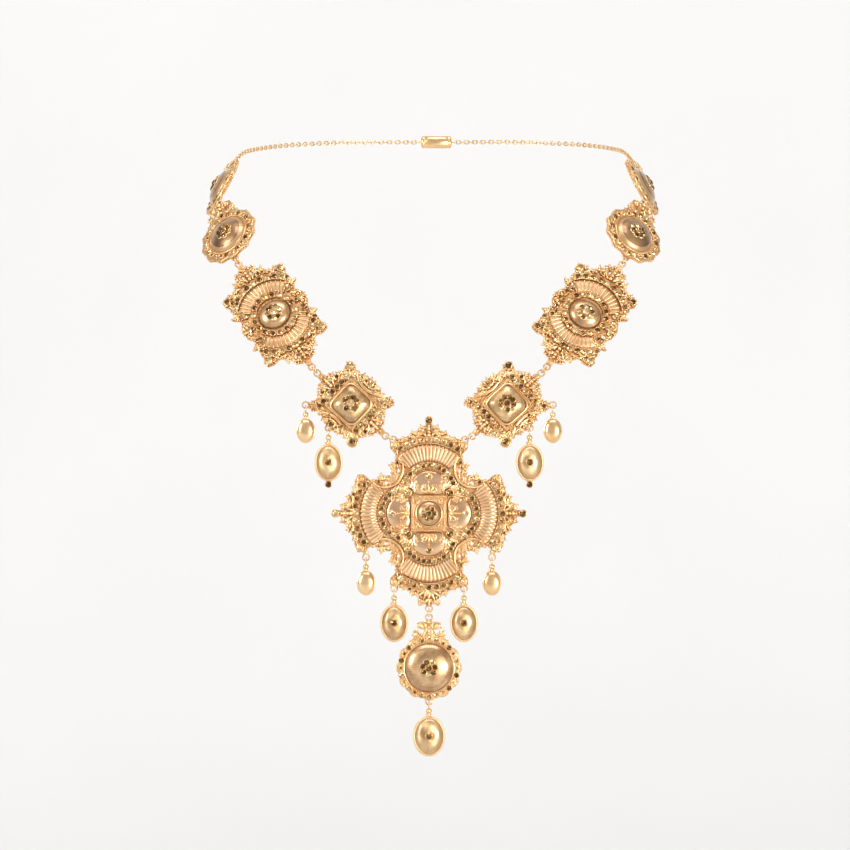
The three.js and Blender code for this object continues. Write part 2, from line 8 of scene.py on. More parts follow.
# %% Load the frame
import math
import bpy
import numpy as np
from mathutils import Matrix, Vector


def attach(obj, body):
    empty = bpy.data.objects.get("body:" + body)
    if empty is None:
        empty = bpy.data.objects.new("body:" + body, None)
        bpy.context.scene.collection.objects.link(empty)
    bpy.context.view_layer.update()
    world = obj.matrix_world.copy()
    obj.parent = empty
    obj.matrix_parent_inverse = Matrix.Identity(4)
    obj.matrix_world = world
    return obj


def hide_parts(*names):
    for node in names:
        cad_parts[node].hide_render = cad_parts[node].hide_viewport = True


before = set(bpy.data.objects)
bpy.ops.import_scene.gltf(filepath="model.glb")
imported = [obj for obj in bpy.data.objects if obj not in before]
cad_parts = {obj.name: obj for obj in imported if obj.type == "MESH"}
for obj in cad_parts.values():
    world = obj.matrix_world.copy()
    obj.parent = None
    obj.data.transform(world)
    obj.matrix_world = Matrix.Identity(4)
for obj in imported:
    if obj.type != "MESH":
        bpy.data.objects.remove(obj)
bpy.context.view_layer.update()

# %% [markdown]
# ## Camera
# A product shot of a necklace is taken level and from far away with a long lens, so that
# the castings at the sides of the neck are not swollen by perspective. The camera looks at
# a point in the plane of the cross, and stands a little to one side.

# %% Camera
MM = 0.001
VIEW_WIDTH = 284.75 * MM  # what the camera takes in, in the plane of the cross
VIEW_DISTANCE = 1600 * MM
VIEW_TURN = math.radians(1.2)
SENSOR = 36.0
aim = Vector((-1.34, -130.3, -102.5)) * MM


def show(name, data):
    """An object for a mesh, a lamp or a camera, in the scene."""
    item = bpy.data.objects.new(name, data)
    bpy.context.scene.collection.objects.link(item)
    return item


camera_data = bpy.data.cameras.new("camera")
camera_data.sensor_width = SENSOR
camera_data.lens = SENSOR * VIEW_DISTANCE / VIEW_WIDTH
camera = show("camera", camera_data)
camera.location = aim + VIEW_DISTANCE * Vector((math.sin(VIEW_TURN), -math.cos(VIEW_TURN), 0))
camera.rotation_euler = (math.pi / 2, 0, VIEW_TURN)
bpy.context.scene.camera = camera
print("lens:", round(camera_data.lens, 1), "mm")

# %% [markdown]
# ## Meshes from whole arrays
# Every shape here is a *loft*: a stack of closed rings with a skin between them. A wire is
# a loft of small ovals along a path, a stone is a loft of polygons, a dome is a loft of
# circles that shrink. The rings are one numpy array, so no loop visits single vertices.
# A closed shape has a signed volume, and its sign tells whether the faces point outwards.

# %% Lofts
QUARTERS = (0, 90, 180, 270)


def outward(points, faces):
    """Turns the faces over if the volume they enclose, the sum of a . (b x c) / 6, is negative."""
    a, b, c = (points[faces[:, i]] - points.mean(axis=0) for i in range(3))
    if np.einsum("ij,ij->", a, np.cross(b, c)) < 0:
        faces = faces[:, ::-1]
    return points, faces


def loft(rings, loop=False):
    """Skins an array of rings [ring, point, xyz]. A loop joins the last ring to the first;
    otherwise each end is closed by a fan to the middle of its ring."""
    rings = np.asarray(rings, float)
    count, sides = rings.shape[:2]
    column = np.arange(sides)
    after = (column + 1) % sides
    row = np.arange(count if loop else count - 1)[:, None] * sides
    above = (row + sides) % (count * sides)
    a, b, c, d = row + column, row + after, above + after, above + column
    faces = [np.stack([a, b, c], -1).reshape(-1, 3), np.stack([a, c, d], -1).reshape(-1, 3)]
    points = rings.reshape(-1, 3)
    if not loop:
        points = np.concatenate([points, rings[[0, -1]].mean(axis=1)])
        first, last = count * sides, count * sides + 1
        top = (count - 1) * sides
        faces.append(np.stack([after, column, np.full(sides, first)], -1))
        faces.append(np.stack([top + column, top + after, np.full(sides, last)], -1))
    return outward(points, np.concatenate(faces))


def gather(shapes):
    """One shape from several: points are stacked, and faces count on from the points before."""
    starts = np.cumsum([0] + [len(points) for points, _ in shapes[:-1]])
    points = np.concatenate([points for points, _ in shapes])
    return points, np.concatenate([faces + start for (_, faces), start in zip(shapes, starts)])


def columns(*values):
    """Rows such as x, y, z, size and turn, from arrays or single numbers."""
    return np.stack(np.broadcast_arrays(*values), -1)


def scatter(shape, spots):
    """Copies of a shape at rows of x, y, z, size and turn in degrees, as one array product."""
    points, faces = shape
    x, y, z, size, turn = np.asarray(spots, float).reshape(-1, 5).T[:, :, None]
    c, s = np.cos(np.radians(turn)), np.sin(np.radians(turn))
    px, py, pz = points.T
    copies = columns(x + size * (c * px - s * py), y + size * (s * px + c * py), z + size * pz)
    steps = np.arange(len(x))[:, None, None] * len(points)
    return copies.reshape(-1, 3), (faces[None] + steps).reshape(-1, 3)


def turned(shape, degrees=QUARTERS):
    """The shape turned about z, once for each angle."""
    return scatter(shape, columns(0, 0, 0, 1, degrees))


def mirrored(shape, flip=(-1, 1, 1)):
    """The shape with x turned to -x, and its faces turned over so that they stay outside."""
    return shape[0] * flip, shape[1][:, ::-1]


def both(*shapes):
    """Shapes and their mirror image."""
    shape = gather(shapes)
    return gather([shape, mirrored(shape)])


def lifted(shape, z):
    """The shape moved up by z."""
    return shape[0] + [0, 0, z], shape[1]


def stood(shape, matrix):
    """The shape turned and moved by a 4 by 4 matrix."""
    return shape[0] @ matrix[:3, :3].T + matrix[:3, 3], shape[1]


# %% [markdown]
# ## Paths and wires
# Scrollwork is drawn with a pen that turns as it goes: its heading bends evenly at first
# and ever faster near the end, which winds the line into a curl. The points are the running
# sum of small steps in that heading. A wire carries an oval along such a path.

# %% Paths
def on_circle(radius, degrees, x=0.0, y=0.0):
    """The x and the y of points on a circle, at angles in degrees."""
    return x + radius * np.cos(np.radians(degrees)), y + radius * np.sin(np.radians(degrees))


def arc_path(x, y, radius, start, stop, count):
    """Points on a circle between two angles in degrees."""
    return columns(*on_circle(radius, np.linspace(start, stop, count), x, y))


def oval_path(wide, high, count):
    """Points all round an oval."""
    angle = np.linspace(0, 2 * np.pi, count, endpoint=False)
    return columns(wide * np.cos(angle), high * np.sin(angle))


def scroll_path(x, y, heading, length, bend=0.0, curl=0.0, count=22):
    """A pen stroke: the heading is heading + bend s + curl s^3 degrees for s from 0 to 1."""
    s = np.linspace(0, 1, count)
    moves = columns(*on_circle(length / (count - 1), heading + bend * s + curl * s**3))
    return np.array([x, y]) + np.cumsum(moves, axis=0) - moves[0]


def resampled(path, gap, closed=False):
    """Points at even distances along a path, by interpolation on its running length."""
    path = np.asarray(path, float)
    if closed:
        path = np.concatenate([path, path[:1]])
    run = np.concatenate([[0], np.cumsum(np.linalg.norm(np.diff(path, axis=0), axis=1))])
    count = max(2, int(round(run[-1] / gap)))
    at = np.linspace(0, run[-1], count + 1)[: count if closed else None]
    return columns(*[np.interp(at, run, column) for column in path.T])


# %% Wires, leaves and beads
def wire(path, wide, high=None, z=0.0, sides=6, closed=False):
    """An oval bar along a flat path: each ring is cos t across the path and sin t upwards."""
    path = np.asarray(path, float)
    wide = np.broadcast_to(wide, len(path))[:, None]
    high = wide if high is None else np.broadcast_to(high, len(path))[:, None]
    ahead = np.roll(path, -1, axis=0) - np.roll(path, 1, axis=0) if closed else np.gradient(path, axis=0)
    ahead_x, ahead_y = (ahead / np.linalg.norm(ahead, axis=1, keepdims=True)).T[:, :, None]
    turn = 2 * np.pi * np.arange(sides) / sides
    x, y = path.T[:, :, None]
    out = wide * np.cos(turn)
    up = np.broadcast_to(z, len(path))[:, None] + high * np.sin(turn)
    return loft(columns(x - ahead_y * out, y + ahead_x * out, up), loop=closed)


def sphere(sides=6, rows=4):
    """A round bead of radius 1: circles of radius sin t at height cos t, closed at its poles."""
    tilt = np.pi * np.arange(1, rows)[:, None] / rows
    turn = 2 * np.pi * np.arange(sides) / sides
    points, faces = loft(columns(np.sin(tilt) * np.cos(turn), np.sin(tilt) * np.sin(turn), np.cos(tilt)))
    points[-2:] = [[0, 0, 1], [0, 0, -1]]
    return points, faces


BEAD = sphere()
BALL = sphere(12, 8)
BEAD_GAP = 1.9  # radii from one bead of a beaded wire to the next


def scroll(x, y, heading, length, bend, curl, wide, z, ball):
    """A tapering scroll that ends in a ball: the bar is widest at a third of its length."""
    path = scroll_path(x, y, heading, length, bend, curl)
    s = np.linspace(0, 1, len(path))
    width = wide * (0.45 + 0.75 * np.sin(np.pi * s**0.6) * (1 - 0.35 * s))
    return gather([wire(path, width, width * 1.1, z), scatter(BEAD, [*path[-1], z, ball, 0])])


def blade(x, y, heading, length, bend, wide, z):
    """A pointed leaflet: width rises as sin(pi s^0.7) and runs out to a tip that lifts."""
    path = scroll_path(x, y, heading, length, bend, count=9)
    s = np.linspace(0, 1, len(path))
    width = wide * (0.12 + np.sin(np.pi * s**0.7)) * (1 - 0.3 * s)
    return wire(path, width, 0.55 * width, z + 0.4 * s * (1 - 0.4 * s), sides=5)


def spray(x, y, heading, length, count, spread, wide, z=0.95):
    """Leaflets that fan out from one foot, the middle one longest."""
    return gather([
        blade(x, y, heading + spread * o, length * (1 - 0.22 * abs(o)), 14 * o, wide, z)
        for o in np.linspace(-1, 1, count)
    ])


def beading(path, radius, z, closed=False):
    """A beaded wire: one bead for each step along the path."""
    return scatter(BEAD, columns(*resampled(path, BEAD_GAP * radius, closed).T, z, radius, 0))


def pillow(outline, rows, middle=(0, 0)):
    """A cushion over an outline: rings of the outline drawn in by each row's share, at its height."""
    share, height = np.array(rows, float).T[:, :, None]
    (x, y), (mid_x, mid_y) = np.asarray(outline, float).T, middle
    return loft(columns(mid_x + share * (x - mid_x), mid_y + share * (y - mid_y), height))


def torus(radius, thick, around=28, sides=8):
    """A round ring about z: small circles carried round a large one."""
    return wire(oval_path(radius, radius, around), thick, sides=sides, closed=True)


# %% [markdown]
# ## Stones and their collets
# A rhinestone is a cut-off pyramid of facets: a flat table on top, and two rows of
# triangles down to its widest edge. It sits in a *collet*, a short turned cup. Each facet
# gets a tone of its own, from black to blazing, which is the stone's smoky colour with a
# painted reflection: a foiled stone throws light back from some facets and not from others.

# %% Stones
def stone_shape(sides=8):
    """A stone of radius 1: an octagon at the foot, the girdle turned half a step, the table."""
    turn = 2 * np.pi * np.arange(sides) / sides
    rows = [(0.8, 0.0, 0.0), (1.0, 0.28, 0.0), (0.82, 0.55, np.pi / sides), (0.46, 0.78, 0.0)]
    return loft([columns(r * np.cos(turn + o), r * np.sin(turn + o), z) for r, z, o in rows])


def collet_shape(sides=12):
    """A cup round a stone of radius 1: a ring with a wide foot and a thin lip."""
    turn = 2 * np.pi * np.arange(sides)[:, None] / sides
    r, z = np.array([(0.8, -0.5), (1.25, -0.5), (1.22, 0.15), (1.06, 0.42), (0.92, 0.2)]).T
    return loft(columns(r * np.cos(turn), r * np.sin(turn), z), loop=True)


STONE = stone_shape()
COLLET = collet_shape()


def row_on_arc(y, radius, mid, half, count, size, z):
    """Spots for stones on an arc about (0, y)."""
    across, along = on_circle(radius, mid + np.linspace(-half, half, count), 0, y)
    return columns(across, along, z, size, 37.0 * np.arange(count))


def turned_spots(spots, angles=QUARTERS):
    """Spots turned about z, once for each angle."""
    x, y, *rest = np.asarray(spots, float).T
    rows = [(math.cos(math.radians(a)), math.sin(math.radians(a))) for a in angles]
    return np.concatenate([columns(c * x - s * y, s * x + c * y, *rest) for c, s in rows])


def both_spots(spots):
    """Spots and their mirror images."""
    return np.concatenate([spots, spots * np.array([-1, 1, 1, 1, 1])])


def flower_spots(radius, count, z, size, tilt=0.0):
    """A flower of stones: one in the middle and the others in a ring a little lower."""
    ring = row_on_arc(0, radius, tilt, 180 - 180 / count, count, size, z - 0.35 * size)
    return np.concatenate([[[0, 0, z, 1.1 * size, 10]], ring])


# %% [markdown]
# ## Finishes
# Cast costume jewellery is plated in pale gold and then *antiqued*: a brown lacquer is
# brushed on and wiped off, so that it stays in the hollows and gives the relief its
# drawing. Ambient occlusion finds the hollows for us, noise breaks it up, and the shader
# mixes a brown into the gold there and makes it rougher. That brown is also painted shade:
# it is as dark as the shade that falls in the hollows.

# %% A finish and its nodes
class Finish:
    """A material, its shader, and short ways to add nodes that read Object coordinates."""

    def __init__(self, name):
        self.material = bpy.data.materials.new(name)
        self.material.use_nodes = True
        self.nodes, self.links = self.material.node_tree.nodes, self.material.node_tree.links
        self.shader = self.nodes["Principled BSDF"]
        self.place = self.add("TexCoord", "Object")

    def feed(self, node, values):
        """Gives a node's inputs their links, numbers or colours, and returns the material."""
        for key, value in dict(values).items():
            if isinstance(value, bpy.types.NodeSocket):
                self.links.new(value, node.inputs[key])
            else:
                node.inputs[key].default_value = (*value, 1) if isinstance(value, tuple) else value
        return self.material

    def add(self, kind, output, inputs=(), **settings):
        """A node of a kind with its settings and inputs, and the output to read."""
        node = self.nodes.new("ShaderNode" + kind)
        for setting, value in settings.items():
            setattr(node, setting, value)
        self.feed(node, inputs)
        return node.outputs[output]

    def ramp(self, source, stops):
        """A colour ramp of (position, colour) stops, where a single number is a grey."""
        color = self.add("ValToRGB", "Color", {"Fac": source})
        elements = color.node.color_ramp.elements
        while len(elements) < len(stops):
            elements.new(0.5)
        for element, (position, tone) in zip(elements, stops):
            element.position = position
            element.color = (*tone, 1) if isinstance(tone, tuple) else (tone, tone, tone, 1)
        return color

    def noise(self, scale, detail=3.0, rough=0.6):
        """Cloudy noise whose patches are about 1 / scale metres wide."""
        inputs = {"Vector": self.place, "Scale": scale, "Detail": detail, "Roughness": rough}
        return self.add("TexNoise", "Fac", inputs)

    def math(self, kind, *values):
        """A Math node on sockets or numbers."""
        return self.add("Math", "Value", dict(enumerate(values)), operation=kind)

    def mix(self, factor, a, b):
        """Two colours mixed by a factor."""
        return self.add("Mix", 2, {0: factor, 6: a, 7: b}, data_type="RGBA")

    def bump(self, height, distance, strength):
        """The normal of a surface of a given height."""
        return self.add("Bump", "Normal", {"Strength": strength, "Distance": distance, "Height": height})


# %% Gold
HOLLOW_REACH = 0.9 * MM
GRAIN_DEPTH = 0.03 * MM


def gold(name, bright, deep, patina_and_shade, rough=0.26, hollow_darkening=0.85, cell_shade=0.0):
    """Plated metal: bright and deep tones in patches, and in the hollows a brown that is both the antique
    lacquer and painted shade. The last argument, above 0, adds what a pierced ground shows: cell walls
    that shine, and dark cells of painted shade for its openings."""
    metal = Finish(name)
    hollow = metal.add("AmbientOcclusion", "AO", {"Distance": HOLLOW_REACH}, samples=6)
    fine = metal.noise(900, 4)
    tone = metal.ramp(metal.noise(160, 2), [(0.36, deep), (0.62, bright)])
    open_share = metal.math("ADD", hollow, metal.math("MULTIPLY_ADD", fine, 0.35, -0.17))
    height = fine
    # painted shade: the cells between the walls are darkened, as the openings of a pierced plate would be
    if cell_shade:
        cells = {"Vector": metal.place, "Scale": 1000}
        edges = metal.add("TexVoronoi", "Distance", cells, feature="DISTANCE_TO_EDGE")
        walls = metal.ramp(edges, [(0.08, 1), (0.3, 0)])
        height = metal.math("MULTIPLY_ADD", walls, 6.0, fine)
        open_share = metal.math("ADD", open_share, metal.math("MULTIPLY_ADD", walls, cell_shade, -cell_shade))
    # painted shade and lacquer: where ambient occlusion finds a hollow, the gold is mixed towards the brown
    brown = metal.ramp(open_share, [(0.2, hollow_darkening), (0.8, 0)])
    return metal.feed(metal.shader, {
        "Base Color": metal.mix(brown, tone, patina_and_shade), "Metallic": 1.0,
        "Roughness": metal.ramp(open_share, [(0.2, 0.55), (0.8, rough)]),
        "Normal": metal.bump(height, GRAIN_DEPTH, 0.4),
    })


ANTIQUE_GOLD = gold("antique_gold", (0.96, 0.675, 0.36), (0.9, 0.54, 0.245), (0.5, 0.22, 0.07))
# The ground's gold is darker than the relief's: painted shade on the plate below the relief, with painted
# dark cells.
SHADED_GROUND_GOLD = gold("shaded_ground_gold", (0.91, 0.595, 0.31), (0.83, 0.47, 0.21), (0.4, 0.17, 0.05), 0.34, 0.9, 0.55)
POLISHED_GOLD = gold("polished_gold", (0.98, 0.7, 0.39), (0.88, 0.54, 0.26), (0.42, 0.18, 0.06), 0.25, 0.6)
SHELL_GOLD = gold("shell_gold", (0.84, 0.56, 0.33), (0.74, 0.45, 0.245), (0.38, 0.16, 0.05), 0.4, 0.92)
# The panels' sunken fan ground is a darker, pinker gold: painted warm shade between the slats.
SHADED_FAN_GOLD = gold("shaded_fan_gold", (0.76, 0.48, 0.27), (0.64, 0.37, 0.19), (0.34, 0.14, 0.05), 0.5, 0.85)
ROSE_GOLD = gold("rose_gold", (0.88, 0.585, 0.355), (0.78, 0.465, 0.255), (0.38, 0.16, 0.06), 0.22, 0.6)
CHAIN_GOLD = gold("chain_gold", (0.98, 0.71, 0.38), (0.92, 0.58, 0.26), (0.32, 0.13, 0.04), 0.22, 0.6)

# %% [markdown]
# ## Glass over foil
# The large stones are clear glass domes with a gold foil behind them, pressed into fine
# rays. Seen from outside, that is a ribbed gold disc under a mirror-smooth skin, so the
# shader is a ribbed metal below a clear coat whose own normal stays smooth. The ribs
# follow an attribute: each point's place on the disc, from -1 to 1.

# %% Foiled glass
RAY_DEPTH = 0.08 * MM
FOIL_SHADOW = [
    (0.0, 0.75), (0.3, 0.45), (0.46, 0), (0.76, 0), (0.79, 0.55), (0.83, 0.05), (0.93, 0.15), (1.0, 0.85),
]


def foiled_glass(name, bright, deep, shade_color, rays=60, contrast=0.05, coat=1.7, band=None):
    """Foil rays: the sine of the angle on the disc times the number of rays, below a clear coat. The rays
    also turn the colour lighter and darker, painted light and shade on the ribs; FOIL_SHADOW mixes in a
    painted shade in the middle round the flower and towards the rim, and a thin dark ring near the rim.
    """
    foil = Finish(name)
    seat = foil.add("Attribute", "Vector", attribute_name="seat")
    parts = foil.add("SeparateXYZ", "X", {0: seat}).node.outputs
    reach = foil.add("VectorMath", "Value", {0: seat}, operation="LENGTH")
    angle = foil.math("ARCTAN2", parts["Y"], parts["X"])
    ray = foil.math("SINE", foil.math("MULTIPLY", angle, rays))
    ray = foil.math("MULTIPLY", ray, foil.ramp(reach, [(0.45, 0.25), (0.8, 1)]))
    # painted light and shade on the foil's ribs: the rays turn its colour lighter and darker by turns
    mixed = foil.math("ADD", foil.math("MULTIPLY", ray, contrast), foil.noise(210, 3, 0.6))
    shine = foil.ramp(mixed, [(0.34, deep), (0.66, bright)])
    # painted shade: the shade colour is mixed in round the flower, in a thin ring and towards the rim
    color = foil.mix(foil.ramp(reach, FOIL_SHADOW), shine, shade_color)
    if band:
        color = foil.mix(foil.ramp(reach, [(0.8, 0), (0.84, 1)]), color, band)
    return foil.feed(foil.shader, {
        "Base Color": color, "Metallic": 0.85, "Roughness": 0.34,
        "Coat Weight": 1.0, "Coat Roughness": 0.02, "Coat IOR": coat,
        "Normal": foil.bump(ray, RAY_DEPTH, 2.2 * contrast),
    })


PALE_FOIL = foiled_glass("pale_foil_glass", (0.78, 0.5, 0.25), (0.36, 0.185, 0.065), (0.27, 0.13, 0.045))
AMBER_FOIL = foiled_glass("amber_foil_glass", (0.79, 0.53, 0.25), (0.33, 0.18, 0.06), (0.26, 0.13, 0.045))
YELLOW_FOIL = foiled_glass(
    "yellow_foil_glass", (0.92, 0.64, 0.32), (0.36, 0.185, 0.06), (0.34, 0.165, 0.05), 44, 0.24,
)
DARK_FOIL = foiled_glass(
    "dark_foil_glass", (0.5, 0.28, 0.12), (0.16, 0.075, 0.03), (0.13, 0.06, 0.02), 60, 0.08, 1.5,
    band=(0.62, 0.38, 0.18),
)

# %% Faceted stones
# The stones' smoky colour with painted reflections: tones from near black to blazing, as facets throw back
# light or none.
STONE_COLOR_AND_GLINTS = [  # from near black to blazing
    (0.0, (0.075, 0.03, 0.007)), (0.38, (0.24, 0.115, 0.028)), (0.6, (0.55, 0.3, 0.085)),
    (0.8, (0.93, 0.64, 0.27)), (1.0, (1.0, 0.86, 0.55)),
]
smoky = Finish("smoky_stones")
facet_glint = smoky.add("Attribute", "Fac", attribute_name="tone")
SMOKY_STONES = smoky.feed(smoky.shader, {
    "Base Color": smoky.ramp(facet_glint, STONE_COLOR_AND_GLINTS), "Metallic": 0.9, "Roughness": 0.08,
    "Coat Weight": 0.35, "Coat Roughness": 0.02,
})

# %% [markdown]
# ## Making a piece
# A piece is one mesh at the origin, with its place in its points, that rides on a body of
# the CAD model and may stand for some of its solids. Shapes are drawn in millimetres in a
# casting's own flat frame, and a 4 by 4 matrix stands them up at their place.

# %% Pieces
# Painted reflections on the stones: a dark or light tone for each stone, scattered for each facet.
DARK_GLINT, LIGHT_GLINT = 0.16, 0.66
STONE_SPREAD, FACET_SPREAD = 0.1, 0.27
FACET_LIFT = 0.06
rng = np.random.default_rng(11)
pieces_made = []


def surface(name, points, faces, material, smooth=True):
    """A mesh of one material from points in metres, smooth or faceted, shown as an object."""
    mesh = bpy.data.meshes.new(name)
    mesh.from_pydata(points.tolist(), [], faces.tolist())
    mesh.polygons.foreach_set("use_smooth", np.full(len(faces), smooth))
    mesh.materials.append(material)
    return show(name, mesh)


def piece(name, shape, material, body, matrix=None, replaces=(), smooth=True, seat=None, tone=None):
    """A piece from points in millimetres: the matrix stands it up, and attributes may go with it."""
    points, faces = shape if matrix is None else stood(shape, matrix)
    item = surface(name, points * MM, faces, material, smooth)
    attributes = item.data.attributes
    if seat is not None:
        attributes.new("seat", "FLOAT_VECTOR", "POINT").data.foreach_set("vector", seat.ravel())
    if tone is not None:
        attributes.new("tone", "FLOAT", "FACE").data.foreach_set("value", tone.ravel())
    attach(item, body)
    if replaces:
        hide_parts(*replaces)
    pieces_made.append((name, len(faces)))


def set_stones(name, spots, body, matrix, replaces=(), dark=1.0):
    """Stones at their spots. Each stone is dark or light by chance, and its facets scatter about it: tones
    that paint the reflections of a foiled stone over its smoky colour.
    """
    of_stone = np.where(rng.random(len(spots)) < dark, DARK_GLINT, LIGHT_GLINT)
    of_stone = of_stone + STONE_SPREAD * rng.standard_normal(len(spots))
    of_facet = FACET_SPREAD * rng.standard_normal((len(spots), len(STONE[1])))
    tone = np.clip(of_stone[:, None] + of_facet + FACET_LIFT, 0, 1)
    stones = scatter(STONE, spots)
    piece(name, stones, SMOKY_STONES, body, matrix, replaces, smooth=False, tone=tone)


def glass(name, shape, spans, material, body, matrix, replaces):
    """A dome whose points also keep their place on the disc, for the foil's rays."""
    seat = columns(*(shape[0][:, :2] / spans).T, 0)
    piece(name, shape, material, body, matrix, replaces, seat=seat)


def dome_shape(wide, high, foot, rise, sides=48):
    """A cabochon: at a share s of its span the height is rise (1 - s^2.4)^(1 / 1.6)."""
    s = np.sin(np.linspace(np.pi / 2, 0.02, 9))
    up = foot + rise * np.clip(1 - s**2.4, 0, 1) ** (1 / 1.6)
    return pillow(oval_path(wide, high, sides), [(0.97, foot), *zip(s, up + 0.001)])


def set_flower(name, gems, flower, body, matrix, flower_dark=0.8):
    """The stones of a casting, of which half are dark, with the darker flower on its dome."""
    dark = np.repeat([0.5, flower_dark], [len(gems), len(flower)])
    set_stones(f"{name}_stones", np.concatenate([gems, flower]), body, matrix, [f"{name}_flower"], dark)


def casting(name, body, matrix, relief, gems, flower, dome, spans, foil, flower_dark=0.8, shells=None):
    """What a casting carries: relief, shells if it has them, stones, and glass over foil."""
    piece(f"{name}_relief", relief, ANTIQUE_GOLD, body, matrix)
    if shells:
        # the shells are the panels' sunken fan ground, in a gold darkened with painted shade
        piece(f"{name}_shells", shells, SHADED_FAN_GOLD, body, matrix)
    set_flower(name, gems, flower, body, matrix, flower_dark)
    glass(f"{name}_glass", dome, spans, foil, body, matrix, [f"{name}_dome"])


# %% [markdown]
# ## Where the castings stand
# The cross hangs upright. From its upper corners the castings climb to the chain, each one
# link on from the last. These are the same sizes and directions as in the CAD model, so
# that every relief lands on its own ground.

# %% Places
def unit(vector):
    """A direction: the vector over its length."""
    return np.asarray(vector, float) / np.linalg.norm(vector)


def standing(place, along, face):
    """The matrix that stands a flat drawing at a place: y runs along, z faces out, x is y by z."""
    y = unit(along)
    z = unit(face - np.dot(face, y) * y)
    matrix = np.eye(4)
    matrix[:3] = np.stack([np.cross(y, z), y, z, place], -1)
    return matrix


def placed(matrix, x, y, z=0.0):
    """Where a point of a stood drawing lies."""
    return matrix[:3, :3] @ [x, y, z] + matrix[:3, 3]


RING = {"radius": 1.3, "wire": 0.22}
RING_REACH = 1.45
LINK = 2 * RING_REACH
EYE_HEIGHT = {"cross": 0.27, "round": 0.53}
ROUND_EYE = {"top": 16.9, "bottom": 11.3}
END = {"lozenge": 15.7, "panel": 23.2}
CLIMB = {
    "lozenge": ((-0.733, 0.115, 0.671), (-0.035, -0.991, 0.132)),
    "panel": ((-0.552, 0.349, 0.757), (-0.113, -0.932, 0.345)),
    "round_front": ((-0.23, 0.7, 0.676), (-0.532, -0.672, 0.515)),
    "round_back": ((0.06, 0.905, 0.42), (-0.87, -0.2, 0.45)),
}
SIDES = {"right": -1, "left": 1}
FORWARD = ((0, 0, 1), (0, -1, 0))

cross_place = standing((0, -130.3, -132.1), *FORWARD)
tip_eye = placed(cross_place, 0, -31.9, EYE_HEIGHT["cross"])
medallion_eye = tip_eye - [0, 0, LINK]
medallion_place = standing(medallion_eye + [0, EYE_HEIGHT["round"], -ROUND_EYE["top"]], *FORWARD)

places = {}
links = [("ring_medallion", "link_medallion", medallion_eye, tip_eye, FORWARD[1], "cross")]
chain_starts = {}
for side, hand in SIDES.items():
    mirror = np.array([-hand, 1, 1])
    eye = placed(cross_place, 12.0 * hand, 24.7, EYE_HEIGHT["cross"])
    way = unit(np.array([-1, 0.1, 0.15]) * mirror)
    for kind, (along, face) in CLIMB.items():
        along, face = along * mirror, face * mirror
        low_eye = eye + LINK * unit(way + unit(along))
        links.append((f"ring_{side}_{kind}", f"link_{side}_{kind}", eye, low_eye, face, "necklace"))
        way = unit(along)
        places[side, kind] = standing(low_eye + END.get(kind, ROUND_EYE["bottom"]) * way, along, face)
        eye = placed(places[side, kind], 0, END.get(kind, ROUND_EYE["top"]))
    chain_starts[side] = (eye, way, face)
print("castings stand at:", {f"{a} {b}": m[:3, 3].round(1).tolist() for (a, b), m in places.items()})

# %% [markdown]
# ## Filigree
# Rococo castings leave no bare metal: stems carry leaves by turns, their ends roll up into
# volutes, and a fringe of leaf tips hides the plain edge of the plate. We make one small
# leaf, and set hundreds of copies along paths, because only their places and angles differ.

# %% Filigree
LEAF_ROWS = ((0, 0.06, 0), (0.2, 0.19, 0.04), (0.5, 0.24, 0.13), (0.82, 0.16, 0.19), (1, 0.05, 0.15))
leaf_along, leaf_wide, leaf_lift = np.array(LEAF_ROWS).T[:, :, None]
leaf_y, leaf_z = on_circle(1, QUARTERS)
LEAF = loft(columns(leaf_along, leaf_wide * leaf_y, 0.5 * leaf_wide * leaf_z + leaf_lift))
DROOP = mirrored(LEAF, (1, 1, -1.6))
VINE_GAP = 0.85
FRINGE_INSET = 0.7


def angles_of(path):
    """The heading in degrees at each point of a path."""
    ahead = np.gradient(path, axis=0)
    return np.degrees(np.arctan2(ahead[:, 1], ahead[:, 0]))


def vine(x, y, heading, length, bend, curl, leaf=1.2, wide=0.24, z=0.95):
    """A scroll with a leaf on each side by turns along two thirds of it."""
    path = resampled(scroll_path(x, y, heading, length, bend, curl, 40)[3:30], VINE_GAP)
    side = (-1.0) ** np.arange(len(path))
    size = leaf * np.linspace(1, 0.6, len(path))
    leaves = scatter(LEAF, columns(*path.T, z, size, angles_of(path) + 46 * side))
    return gather([scroll(x, y, heading, length, bend, curl, wide, z + 0.1, 1.6 * wide), leaves])


def c_scroll(x, y, heading, length, bend, curl, wide, z=0.95, ball=0.42):
    """A scroll rolled up at both ends: its heading is heading + bend t + curl t^5 for t from -1 to 1."""
    t = np.linspace(-1, 1, 28)
    path = np.cumsum(columns(*on_circle(length / 27, heading + bend * t + curl * t**5)), axis=0)
    path = path - path[14] + [x, y]
    width = wide * (0.55 + 0.6 * np.cos(1.4 * t))
    return gather([wire(path, width, width, z), scatter(BEAD, columns(*path[[0, -1]].T, z, ball, 0))])


def volute(x, y, radius, start, wide, z=0.95, hand=-1, turns=1.2):
    """A rolled end: the radius shrinks from full to a quarter as the angle runs round."""
    s = np.linspace(0, 1, 26)
    path = columns(*on_circle(radius * (1 - 0.75 * s), start + hand * 360 * turns * s, x, y))
    ball = scatter(BEAD, [x, y, z + 0.25, 0.32 * radius + 0.12, 0])
    return gather([wire(path, wide * (1 - 0.4 * s), wide, z + 0.3 * s), ball])


